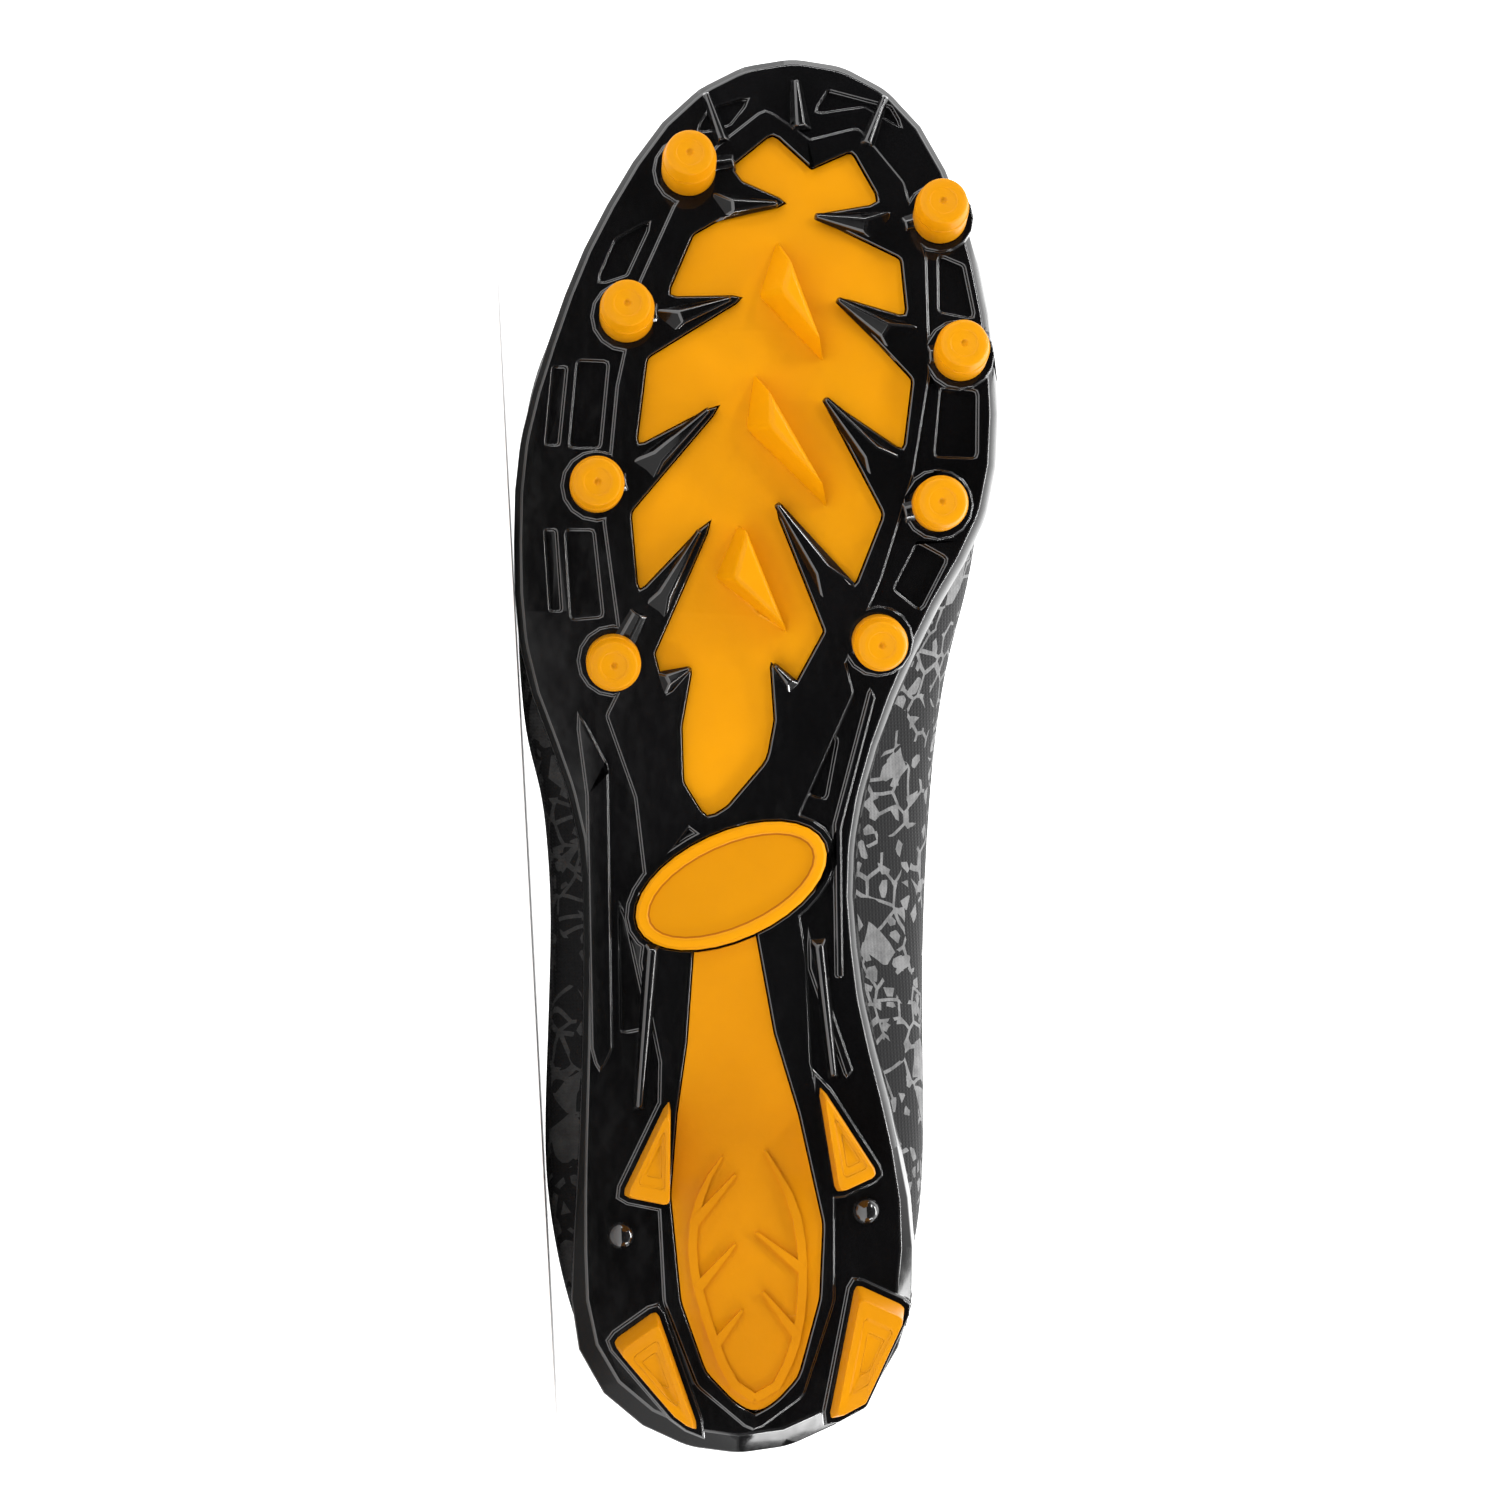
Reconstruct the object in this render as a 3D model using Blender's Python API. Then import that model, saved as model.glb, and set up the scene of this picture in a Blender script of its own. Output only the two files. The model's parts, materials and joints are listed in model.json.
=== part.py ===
"""American football cleat, right shoe, lying on its lateral side.

The shoe is drawn in its own frame first: x runs from the back of the heel to the toe, y from
the lateral (outer) side to the medial (inner) side, and z up from the ground under the studs.
An empty then lays the whole shoe on its lateral side, on the floor z = 0.

The sole is modelled flat, with z = 0 on the surface that the upper stands on, cut across at
regular stations and then bent to the profile of arch, heel and toe spring.

In the plan tables an x is a percentage of SHOE_LENGTH and a y a percentage of the local width.
"""
from math import atan, cos, pi, sin, tan

import bmesh
import bpy
import numpy as np
from mathutils import Matrix, Vector

# Driving sizes, in metres
SHOE_LENGTH = 0.300
BALL_WIDTH = 0.100
HEEL_WIDTH = 0.073
HEEL_RISE = 0.078
INSTEP_RISE = 0.082
UPPER_WALL = 0.002
FIT_GAP = 0.0003

# Sole, in metres
STUD_HEIGHT = 0.012
STUD_RADIUS = 0.0062
STUD_TIP_RADIUS = 0.0052
HEEL_BLADE_HEIGHT = 0.0135
CENTRE_BLADE_HEIGHT = 0.009
TOE_SPRING = 0.017
ARCH_RISE = 0.0055
HEEL_CURL = 0.0022
SOLE_LEVEL = 0.0042
RAISED_LEVEL = 0.0054
POCKET_LEVEL = 0.0028
RIM_THICKNESS = 0.0016
RIM_HEIGHT = 0.003
RIM_HEIGHT_AT_ENDS = 0.0062
RIM_FLARE = 0.0010
EDGE_BEVEL = 0.0014
HEEL_EDGE_BEVEL = 0.0042
INSERT_THICKNESS = 0.0014
INSERT_FACE = 0.0036
STRIP_THICKNESS = 0.0022
STRIP_FACE = 0.0049
RIB_HEIGHT = 0.0008
RIB_WIDTH = 0.0019
BADGE_LONG_RADIUS = 0.0218
BADGE_SHORT_RADIUS = 0.0114
BADGE_TURN = 0.424
BADGE_RIM = 0.0026
BADGE_RIM_BEVEL = 0.0006
BADGE_THICKNESS = 0.0023
BADGE_FACE_DEPTH = 0.0007
BADGE_SEAT = 0.0040
DOME_RADIUS = 0.0029
BOSS_RADIUS = 0.0074
PEDESTAL_MARGIN = 0.0013
BLADE_TAPER = 0.14
STATION_STEP = 0.015

# Upper and its trim, in metres
INSOLE_THICKNESS = 0.0035
TONGUE_THICKNESS = 0.003
TONGUE_MARGIN = 0.009
TONGUE_CLEARANCE = 0.0018
EYESTAY_THICKNESS = 0.0010
EYESTAY_GAP = 0.0005
EYESTAY_WIDTH = 0.0155
EYESTAY_EDGE = 0.0008
EYELET_RADIUS = 0.0034
EYELET_HOLE = 0.0019
EYELET_HEIGHT = 0.0009
EYELET_FROM_EDGE = 0.0072
LACE_WIDTH = 0.0052
LACE_THICKNESS = 0.0012
LACE_LIFT = 0.0022

# Counts
HALF_COLUMNS = 32
ROUND_SIDES = 16
BADGE_SIDES = 32
EYELET_SIDES = 8
EYELET_PAIRS = 5
EYELET_COLUMN_STEP = 3
FIRST_EYELET_COLUMN = 15
EYESTAY_FIRST_COLUMN = 13
REST_SPOKES = 48

# Densities, in kilograms per cubic metre
PLATE_DENSITY = 1180.0
TEXTILE_DENSITY = 700.0
FOAM_DENSITY = 180.0

# Edge of the sole from the back of the heel to the tip of the toe: x, y
SOLE_MEDIAL_EDGE = (
    (0.0, -1.6), (0.2, 6.0), (2.1, 19.4), (5.0, 28.5), (7.8, 32.8), (10.7, 35.2), (14.0, 35.6),
    (17.3, 35.0), (22.0, 32.4), (27.0, 28.9), (31.8, 25.5), (36.0, 23.9), (40.9, 23.0),
    (45.5, 24.2), (50.0, 27.6), (54.0, 31.8), (59.0, 38.4), (62.0, 43.0), (65.3, 49.0),
    (68.3, 51.8), (71.5, 53.1), (76.5, 53.2), (82.7, 51.0), (88.5, 47.0), (91.3, 44.0),
    (94.3, 39.5), (97.1, 33.0), (99.2, 23.5), (100.0, 10.6))
SOLE_LATERAL_EDGE = (
    (0.0, -1.6), (0.2, -9.4), (2.1, -22.5), (5.0, -32.0), (7.8, -36.0), (11.3, -37.4),
    (16.3, -36.7), (23.0, -35.6), (34.3, -34.8), (42.3, -35.2), (47.0, -38.0), (51.7, -43.0),
    (55.7, -47.3), (60.0, -49.2), (66.0, -49.6), (70.7, -48.9), (74.0, -47.0), (79.8, -41.7),
    (85.7, -35.0), (91.3, -26.0), (94.3, -20.0), (97.1, -12.3), (99.3, -1.0), (100.0, 10.6))

# Widest line of the upper, a third of the way up its wall: x, y
GIRTH_MEDIAL_EDGE = (
    (0.5, -1.6), (0.8, 6.0), (2.8, 19.0), (5.7, 27.8), (8.5, 32.4), (11.3, 35.6), (16.3, 38.8),
    (22.3, 39.8), (32.3, 39.8), (42.3, 41.1), (51.0, 42.9), (56.7, 45.3), (62.7, 50.0),
    (68.3, 51.8), (76.5, 52.6), (82.7, 50.2), (88.5, 46.0), (94.0, 38.8), (97.0, 31.8),
    (98.8, 23.0), (99.5, 10.6))
GIRTH_LATERAL_EDGE = (
    (0.5, -1.6), (0.8, -9.4), (2.8, -22.0), (5.7, -31.5), (9.0, -36.6), (13.7, -40.2),
    (18.0, -42.4), (22.3, -43.0), (31.0, -42.2), (39.3, -41.7), (45.3, -43.0), (48.5, -44.4),
    (51.0, -47.2), (54.0, -48.0), (60.0, -48.8), (68.3, -48.8), (73.0, -47.7), (77.0, -45.6),
    (81.0, -40.8), (85.7, -34.0), (91.3, -25.0), (94.3, -19.0), (97.0, -11.4), (98.9, -0.6),
    (99.5, 10.6))

# Top line: share of the way from heel to throat, x, half opening, centre,
# share of HEEL_RISE and share of INSTEP_RISE
TOP_LINE = (
    (0.00, 1.9, 0.0, -1.6, 1.00, 0.00), (0.03, 2.4, 9.5, -1.6, 0.985, 0.00),
    (0.06, 4.4, 17.0, -1.6, 0.95, 0.00), (0.10, 8.6, 24.0, -1.5, 0.88, 0.02),
    (0.15, 14.0, 28.5, -1.4, 0.76, 0.08), (0.21, 20.5, 30.5, -1.2, 0.60, 0.18),
    (0.27, 26.5, 30.0, -1.0, 0.42, 0.34), (0.33, 32.5, 27.0, -0.8, 0.18, 0.60),
    (0.39, 37.3, 21.5, -0.5, 0.03, 0.86), (0.43, 40.0, 17.5, -0.2, 0.00, 0.955),
    (0.48, 42.8, 15.0, 0.2, 0.00, 0.945), (0.56, 47.0, 13.0, 0.8, 0.00, 0.865),
    (0.66, 52.0, 11.2, 1.6, 0.00, 0.790), (0.78, 57.5, 9.2, 2.6, 0.00, 0.730),
    (0.89, 61.8, 6.4, 3.6, 0.00, 0.700), (0.96, 63.7, 3.2, 4.0, 0.00, 0.690),
    (1.00, 64.2, 0.0, 4.2, 0.00, 0.687))

# Wall of the upper, row by row: weights of the feather, girth and top lines, share of the
# height between the top of the sole's rim and the top line. The first row is the feather line.
MEDIAL_ROWS = (
    (1.00, 0.00, 0.00, 0.00), (1.00, 0.00, 0.00, 0.00), (0.55, 0.45, 0.00, 0.08),
    (0.18, 0.82, 0.00, 0.18), (0.00, 1.00, 0.00, 0.30), (0.00, 1.00, 0.00, 0.44),
    (0.00, 0.84, 0.16, 0.61), (0.00, 0.52, 0.48, 0.79), (0.00, 0.25, 0.75, 0.90),
    (0.00, 0.00, 1.00, 1.00))
LATERAL_ROWS = (
    (1.00, 0.00, 0.00, 0.00), (1.00, 0.00, 0.00, 0.00), (0.25, 0.75, 0.00, 0.02),
    (0.00, 1.00, 0.00, 0.045), (0.00, 1.00, 0.00, 0.27), (0.00, 1.00, 0.00, 0.45),
    (0.00, 0.84, 0.16, 0.61), (0.00, 0.52, 0.48, 0.79), (0.00, 0.25, 0.75, 0.90),
    (0.00, 0.00, 1.00, 1.00))
TOE_ROWS = (
    (1.00, 0.00, 0.00, 0.00), (1.00, 0.00, 0.00, 0.00), (0.45, 0.55, 0.00, 0.08),
    (0.00, 1.00, 0.00, 0.20), (0.00, 0.97, 0.03, 0.36), (0.00, 0.89, 0.11, 0.48),
    (0.00, 0.70, 0.30, 0.60), (0.00, 0.42, 0.58, 0.76), (0.00, 0.20, 0.80, 0.88),
    (0.00, 0.00, 1.00, 1.00))

# Free top of the tongue, section by section: steps back and up as shares of INSTEP_RISE, and
# the width as a share of the section before
TONGUE_TOP = ((0.11, 0.11, 0.86), (0.10, 0.12, 0.92), (0.05, 0.09, 0.94))

# Profile of the surface that the upper stands on: x, shares of the heel height, the ball
# height, the arch, the toe spring and the curl at the back
SOLE_PROFILE = (
    (0.0, 1.0, 0.0, 0.0, 0.00, 1.00), (5.0, 1.0, 0.0, 0.0, 0.00, 0.35),
    (11.0, 1.0, 0.0, 0.0, 0.00, 0.00), (22.0, 1.0, 0.0, 0.10, 0.00, 0.00),
    (32.0, 0.8, 0.2, 0.60, 0.00, 0.00), (42.0, 0.5, 0.5, 1.00, 0.00, 0.00),
    (52.0, 0.2, 0.8, 0.62, 0.00, 0.00), (62.0, 0.0, 1.0, 0.10, 0.00, 0.00),
    (70.0, 0.0, 1.0, 0.00, 0.02, 0.00), (78.0, 0.0, 1.0, 0.00, 0.15, 0.00),
    (86.0, 0.0, 1.0, 0.00, 0.41, 0.00), (93.0, 0.0, 1.0, 0.00, 0.70, 0.00),
    (100.0, 0.0, 1.0, 0.00, 1.00, 0.00))

# Outline of the forefoot insert, medial side first: x, y, corner radius in millimetres
INSERT_OUTLINE = (
    (94.3, 6.0, 1.6), (91.7, 14.3, 0.6), (93.0, 22.9, 1.2), (89.3, 28.9, 1.6),
    (88.4, 13.6, 1.2), (85.2, 33.0, 1.4), (81.1, 34.1, 1.0),
    (82.7, 18.0, 1.1), (76.5, 35.2, 1.6), (71.5, 33.3, 0.8),
    (75.6, 15.2, 1.1), (66.9, 28.9, 2.4), (61.8, 22.9, 0.8),
    (68.3, 4.6, 1.1), (58.6, 16.3, 1.0), (54.6, 9.8, 0.8),
    (56.8, 4.8, 0.7), (52.3, 5.8, 2.0), (49.5, 4.3, 6.0), (46.2, -4.1, 4.0),
    (45.3, -8.4, 2.0), (47.9, -13.2, 3.0), (51.8, -13.6, 3.0),
    (56.4, -11.2, 0.7), (54.1, -17.1, 0.8), (57.0, -19.4, 0.8),
    (67.4, -5.8, 1.1), (61.4, -23.0, 0.8), (67.0, -24.5, 2.4),
    (75.3, -3.4, 1.1), (71.8, -23.3, 0.8), (78.0, -21.0, 2.0),
    (82.6, 1.2, 1.1), (82.5, -16.7, 1.2), (86.9, -11.1, 2.0), (88.0, -5.4, 1.6),
    (89.2, 10.6, 1.2), (90.9, -0.6, 1.6), (91.9, -2.7, 1.2))

# Outer edge of the raised band around the insert: x, y, corner radius in millimetres
BAND_OUTLINE = (
    (96.2, 4.5, 2.5), (93.9, 14.0, 1.0), (94.8, 24.5, 2.0), (90.8, 34.0, 3.0),
    (85.3, 38.6, 4.0), (77.0, 39.0, 4.0), (69.5, 35.2, 4.0), (62.4, 28.6, 3.0), (56.0, 20.6, 3.0),
    (50.6, 11.4, 3.0), (45.6, 3.4, 3.0), (43.6, -8.0, 3.0), (46.0, -17.6, 3.0), (51.5, -20.6, 3.0),
    (58.0, -27.0, 3.0), (66.3, -30.4, 4.0), (76.0, -27.6, 4.0), (83.5, -22.7, 4.0),
    (89.0, -15.3, 3.0), (93.4, -6.0, 3.0))

# Raised bands and ribs of the waist and heel: x, y, corner radius in millimetres
WAIST_BANDS = {
    "lateral rail": ((53.5, -36.6, 1.0), (49.0, -29.6, 1.5), (29.0, -28.7, 1.0), (27.0, -31.4, 1.0),
                     (29.0, -33.0, 1.0), (47.0, -34.0, 1.5)),
    "lateral brace": ((56.8, -23.6, 1.5), (50.0, -15.0, 2.0), (45.4, -10.6, 1.0), (40.6, -21.4, 1.0),
                      (46.8, -23.6, 2.0), (52.6, -29.8, 1.5)),
    "medial brace": ((59.4, 18.6, 1.5), (54.2, 22.8, 1.5), (45.6, 11.4, 1.5), (40.4, 12.4, 1.0),
                     (41.6, 7.0, 1.0), (46.4, 0.0, 1.5)),
    "medial rib": ((54.6, 26.4, 0.4), (53.9, 27.4, 0.4), (44.6, 20.3, 0.6), (34.0, 20.6, 0.4),
                   (34.0, 19.3, 0.4), (44.9, 18.9, 0.6)),
    "spine": ((40.2, -20.6, 2.0), (35.0, -22.6, 2.0), (28.0, -18.4, 3.0), (20.0, -19.0, 3.0),
              (11.0, -17.6, 4.0), (5.0, -10.6, 4.0), (1.6, 1.4, 3.0), (4.2, 12.0, 4.0),
              (11.0, 18.6, 4.0), (20.0, 18.6, 3.0), (28.0, 13.6, 3.0), (35.2, 12.8, 2.0),
              (38.8, 11.2, 2.0)),
    "medial keel": ((37.4, 13.4, 0.5), (35.0, 14.8, 0.6), (27.4, 22.6, 0.5), (26.8, 21.4, 0.5),
                    (34.6, 13.6, 0.6)),
}

# Pockets sunk between the studs and the edge: x, y, corner radius in millimetres
POCKETS = (
    ((88.2, -19.6, 1.0), (86.6, -28.0, 1.2), (83.2, -32.4, 1.2), (84.0, -25.4, 1.0)),
    ((77.8, -29.4, 1.0), (77.9, -36.2, 1.0), (71.6, -38.0, 1.0), (71.6, -31.2, 1.0)),
    ((65.8, -32.6, 1.0), (65.8, -38.8, 1.0), (59.4, -37.6, 1.0), (59.6, -30.6, 1.0)),
    ((77.4, -38.3, 0.6), (77.4, -41.4, 0.6), (71.8, -43.0, 0.6), (71.8, -40.0, 0.6)),
    ((65.8, -40.6, 0.6), (65.8, -43.2, 0.6), (60.0, -42.0, 0.6), (60.0, -39.4, 0.6)),
    ((85.6, 41.2, 1.0), (84.8, 46.8, 1.0), (80.9, 49.0, 1.0), (81.4, 41.2, 1.0)),
    ((76.0, 41.4, 1.0), (75.8, 49.4, 1.2), (70.9, 49.2, 1.2), (71.0, 40.0, 1.0)),
    ((65.0, 36.4, 1.0), (63.8, 43.0, 1.2), (60.0, 37.2, 1.2), (61.6, 31.2, 1.0)),
    ((97.2, 2.0, 1.0), (96.2, -7.6, 1.2), (94.2, -11.2, 1.2), (95.0, -3.0, 1.0)),
    ((97.6, 18.0, 1.0), (95.8, 14.6, 1.0), (96.4, 26.0, 1.0), (94.6, 34.6, 1.0), (96.4, 31.6, 1.0)),
    ((52.0, 12.2, 1.0), (47.0, 13.2, 1.5), (46.6, 17.2, 1.0), (51.0, 19.6, 1.0)),
    ((38.0, -25.6, 1.5), (30.4, -20.6, 1.5), (30.0, -26.8, 1.0), (39.4, -27.2, 1.0)),
)

# Shank strip: x, y, corner radius in millimetres
STRIP_OUTLINE = (
    (40.0, -9.8, 1.0), (35.8, -11.1, 3.0), (29.4, -12.5, 9.0), (24.3, -14.7, 9.0), (18.5, -16.1, 12.0),
    (11.0, -13.9, 9.0), (6.0, -8.6, 7.0), (2.3, 1.9, 6.0), (5.6, 10.9, 7.0), (11.2, 15.4, 9.0),
    (16.5, 16.1, 9.0), (24.3, 10.9, 9.0), (30.0, 5.8, 9.0), (40.0, 0.4, 1.0))

# Leaf raised on the strip: the outline's centre line and its branches, tip first: x, y
LEAF_LATERAL = (
    (21.3, -5.2), (19.4, -8.7), (16.8, -11.2), (13.9, -11.5), (11.2, -9.8), (7.8, -6.5),
    (5.2, -2.9), (4.1, 1.7))
LEAF_MEDIAL = (
    (21.7, 3.9), (18.3, 9.4), (15.7, 11.4), (12.6, 11.9), (9.3, 11.1), (7.1, 9.4),
    (4.9, 6.1), (4.1, 1.7))
LEAF_BRANCHES = (
    ((20.0, -2.4), (16.7, -11.0)), ((15.1, -2.4), (12.0, -10.4)), ((10.4, -1.0), (8.0, -6.6)),
    ((15.9, 2.0), (13.3, 11.8)), ((11.7, 3.4), (8.6, 10.7)))

# Places of the round studs: x, y of the foot of each
LATERAL_STUDS = ((91.6, -12.2), (81.0, -25.6), (68.9, -32.0), (56.5, -28.5))
MEDIAL_STUDS = ((88.2, 41.6), (78.3, 45.6), (67.6, 40.8), (57.9, 28.1))

# Centre blades, corner by corner from the toe end: x and y at the foot, x and y at the tip
CENTRE_BLADES = (
    ((87.3, 6.9, 86.0, 9.3), (78.3, 16.2, 80.0, 14.8), (83.4, 2.8, 83.6, 8.0)),
    ((77.8, 2.2, 76.7, 4.7), (67.7, 17.5, 69.5, 15.8), (73.5, -0.6, 73.7, 5.4)),
    ((66.3, -1.9, 65.9, 0.0), (58.3, 9.1, 59.2, 7.6), (62.6, -7.0, 62.5, -2.6)))
BLADE_BULGE = 0.0028

# Heel blades: x, y, corner radius in millimetres
HEEL_BLADES = {
    "heel_blade_lateral_1": ((25.8, -16.2, 0.8), (17.8, -16.4, 1.2), (18.5, -26.8, 1.4)),
    "heel_blade_medial_1": ((26.8, 14.9, 0.8), (20.0, 28.1, 1.4), (18.6, 18.9, 1.4)),
    "heel_blade_lateral_2": ((10.5, -19.2, 1.2), (1.5, -9.8, 1.0), (2.9, -15.4, 1.0), (8.2, -28.9, 1.6)),
    "heel_blade_medial_2": ((12.3, 23.1, 1.2), (10.6, 34.1, 1.6), (3.7, 24.6, 1.2), (2.4, 17.4, 1.0)),
}
HEEL_DOMES = {"heel_dome_lateral": (15.7, -26.7), "heel_dome_medial": (17.4, 25.6)}
BADGE_CENTRE = (40.5, -3.2)

# Colours as seen: red, green, blue, roughness
COLOURS = {
    "gloss_black": (0.010, 0.010, 0.011, 0.22),
    "golden_orange": (0.92, 0.40, 0.006, 0.38),
    "strip_orange": (0.78, 0.30, 0.010, 0.40),
    "stud_orange": (0.90, 0.40, 0.008, 0.42),
    "knit_black": (0.016, 0.016, 0.017, 0.85),
    "overlay_black": (0.012, 0.012, 0.013, 0.5),
    "lining_black": (0.020, 0.020, 0.021, 0.9),
    "lace_black": (0.014, 0.014, 0.015, 0.8),
}


def clear_scene():
    for item in list(bpy.data.objects):
        bpy.data.objects.remove(item, do_unlink=True)


def material(name):
    red, green, blue, roughness = COLOURS[name]
    made = bpy.data.materials.get(name)
    if made is None:
        made = bpy.data.materials.new(name)
        made.use_nodes = True
        shader = made.node_tree.nodes["Principled BSDF"]
        shader.inputs["Base Color"].default_value = (red, green, blue, 1.0)
        shader.inputs["Roughness"].default_value = roughness
        shader.inputs["Metallic"].default_value = 0.0
    return made


def ease(low, high, value):
    share = min(max((value - low) / (high - low), 0.0), 1.0)
    return share * share * (3.0 - 2.0 * share)


def read_table(rows, column, at):
    """Smooth value of a column of a table whose first column rises, without overshoot."""
    xs = [row[0] for row in rows]
    ys = [row[column] for row in rows]
    at = min(max(at, xs[0]), xs[-1])
    rises = [(ys[k + 1] - ys[k]) / (xs[k + 1] - xs[k]) for k in range(len(xs) - 1)]
    slopes = [rises[0]]
    for before, after in zip(rises, rises[1:]):
        if before * after <= 0.0:
            slopes.append(0.0)
        else:
            slopes.append(2.0 * before * after / (before + after))
    slopes.append(rises[-1])
    k = max(index for index, x in enumerate(xs[:-1]) if x <= at)
    span = xs[k + 1] - xs[k]
    t = (at - xs[k]) / span
    return ((2 * t ** 3 - 3 * t ** 2 + 1) * ys[k] + (t ** 3 - 2 * t ** 2 + t) * span * slopes[k]
            + (3 * t ** 2 - 2 * t ** 3) * ys[k + 1] + (t ** 3 - t ** 2) * span * slopes[k + 1])


def plan(x_percent, y_percent):
    """A point of a plan table, in metres. Widths follow the heel behind and the ball in front."""
    heel_unit = HEEL_WIDTH / 73.0
    ball_unit = BALL_WIDTH / 100.0
    forward = ease(25.0, 55.0, x_percent)
    unit = heel_unit + (ball_unit - heel_unit) * forward
    return Vector((x_percent / 100.0 * SHOE_LENGTH, y_percent * unit))


def plate_height(x):
    """Height above the ground of the surface that the upper stands on."""
    at = x / SHOE_LENGTH * 100.0
    heel_height = HEEL_BLADE_HEIGHT + FIT_GAP + RAISED_LEVEL
    ball_height = STUD_HEIGHT + FIT_GAP + RAISED_LEVEL
    sizes = (heel_height, ball_height, ARCH_RISE, TOE_SPRING, HEEL_CURL)
    return sum(size * read_table(SOLE_PROFILE, column, at)
               for column, size in enumerate(sizes, start=1))


STATION_COUNT = round(SHOE_LENGTH / STATION_STEP)
STATIONS = [SHOE_LENGTH * k / STATION_COUNT for k in range(STATION_COUNT + 1)]
STATION_HEIGHTS = [plate_height(x) for x in STATIONS]


def bent(x):
    """Height of the plate read straight from station to station, as the sole is bent."""
    return float(np.interp(x, STATIONS, STATION_HEIGHTS))


def slope(x):
    reach = STATION_STEP
    return (plate_height(x + reach) - plate_height(x - reach)) / (2.0 * reach)


# Plan curves and outlines

def curve_through(points, steps=10):
    """Points along a smooth curve through the given ones (centripetal Catmull-Rom)."""
    points = [Vector(p) for p in points]
    padded = [2 * points[0] - points[1]] + points + [2 * points[-1] - points[-2]]
    made = []
    for before, start, end, after in zip(padded, padded[1:], padded[2:], padded[3:]):
        legs = ((before, start), (start, end), (end, after))
        gaps = [max((b - a).length, 1e-9) ** 0.5 for a, b in legs]
        tangent = gaps[1] * ((start - before) / gaps[0] - (end - before) / (gaps[0] + gaps[1])
                             + (end - start) / gaps[1])
        leaving = gaps[1] * ((end - start) / gaps[1] - (after - start) / (gaps[1] + gaps[2])
                             + (after - end) / gaps[2])
        for step in range(steps):
            t = step / steps
            made.append((2 * t ** 3 - 3 * t ** 2 + 1) * start + (t ** 3 - 2 * t ** 2 + t) * tangent
                        + (3 * t ** 2 - 2 * t ** 3) * end + (t ** 3 - t ** 2) * leaving)
    made.append(points[-1])
    return made


def spaced(points, count):
    """The curve cut into count equal lengths."""
    lengths = np.cumsum([0.0] + [(b - a).length for a, b in zip(points, points[1:])])
    wanted = np.linspace(0.0, lengths[-1], count + 1)
    columns = [np.interp(wanted, lengths, [p[axis] for p in points]) for axis in range(len(points[0]))]
    return [Vector(values) for values in zip(*columns)]


def loop_from_edges(medial_edge, lateral_edge):
    """Closed loop from the back of the heel up the medial side and down the lateral side."""
    medial = spaced(curve_through([plan(*row) for row in medial_edge]), HALF_COLUMNS)
    lateral = spaced(curve_through([plan(*row) for row in lateral_edge]), HALF_COLUMNS)
    return medial + lateral[-2:0:-1]


def signed_area(points):
    return 0.5 * sum(a.x * b.y - b.x * a.y for a, b in zip(points, points[1:] + points[:1]))


def grown(points, amounts):
    """The closed outline moved outwards by a distance, or by one distance for each point."""
    if not isinstance(amounts, (list, tuple)):
        amounts = [amounts] * len(points)
    turn = 1.0 if signed_area(points) > 0.0 else -1.0
    made = []
    neighbours = zip(points[-1:] + points[:-1], points, points[1:] + points[:1])
    for (before, here, after), amount in zip(neighbours, amounts):
        first = (here - before).normalized()
        second = (after - here).normalized()
        normal = Vector((first.y + second.y, -first.x - second.x)).normalized() * turn
        lean = max(normal.dot(Vector((first.y, -first.x)) * turn), 0.3)
        made.append(here + normal * (amount / lean))
    return made


def rounded(rows, steps=2):
    """Closed outline with its corners rounded: each row is x, y and a radius in millimetres."""
    corners = [plan(row[0], row[1]) for row in rows]
    made = []
    for k, row in enumerate(rows):
        here = corners[k]
        back = corners[k - 1] - here
        ahead = corners[(k + 1) % len(rows)] - here
        half_angle = 0.5 * back.angle(ahead)
        reach = row[2] / 1000.0 / tan(half_angle)
        reach = min(reach, 0.45 * back.length, 0.45 * ahead.length)
        start = here + back.normalized() * reach
        end = here + ahead.normalized() * reach
        for step in range(steps + 1):
            t = step / steps
            made.append((1 - t) ** 2 * start + 2 * t * (1 - t) * here + t ** 2 * end)
    return made


def ellipse(centre, long_radius, short_radius, turn, sides):
    """Ellipse whose long axis lies across the shoe, turned by an angle towards the toe."""
    along = Vector((sin(turn), cos(turn)))
    across = Vector((cos(turn), -sin(turn)))
    return [centre + along * long_radius * cos(2 * pi * k / sides)
            + across * short_radius * sin(2 * pi * k / sides) for k in range(sides)]


# Mesh helpers

def mesh_object(name, bm, look, smooth_angle=None):
    bmesh.ops.recalc_face_normals(bm, faces=bm.faces)
    mesh = bpy.data.meshes.new(name)
    bm.to_mesh(mesh)
    bm.free()
    if look:
        mesh.materials.append(material(look))
    if smooth_angle is not None:
        mesh.shade_smooth()
        mesh.set_sharp_from_angle(angle=smooth_angle)
    made = bpy.data.objects.new(name, mesh)
    bpy.context.scene.collection.objects.link(made)
    return made


def ring_solid(rings, capped=True):
    """Closed solid from rings of equal count: neighbours are bridged and the ends are capped."""
    bm = bmesh.new()
    made = [[bm.verts.new(point) for point in ring] for ring in rings]
    count = len(rings[0])
    pairs = list(zip(made, made[1:]))
    if not capped:
        pairs.append((made[-1], made[0]))
    for low, high in pairs:
        for k in range(count):
            bm.faces.new((low[k], low[(k + 1) % count], high[(k + 1) % count], high[k]))
    if capped:
        bm.faces.new(made[0])
        bm.faces.new(made[-1])
    return bm


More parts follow.
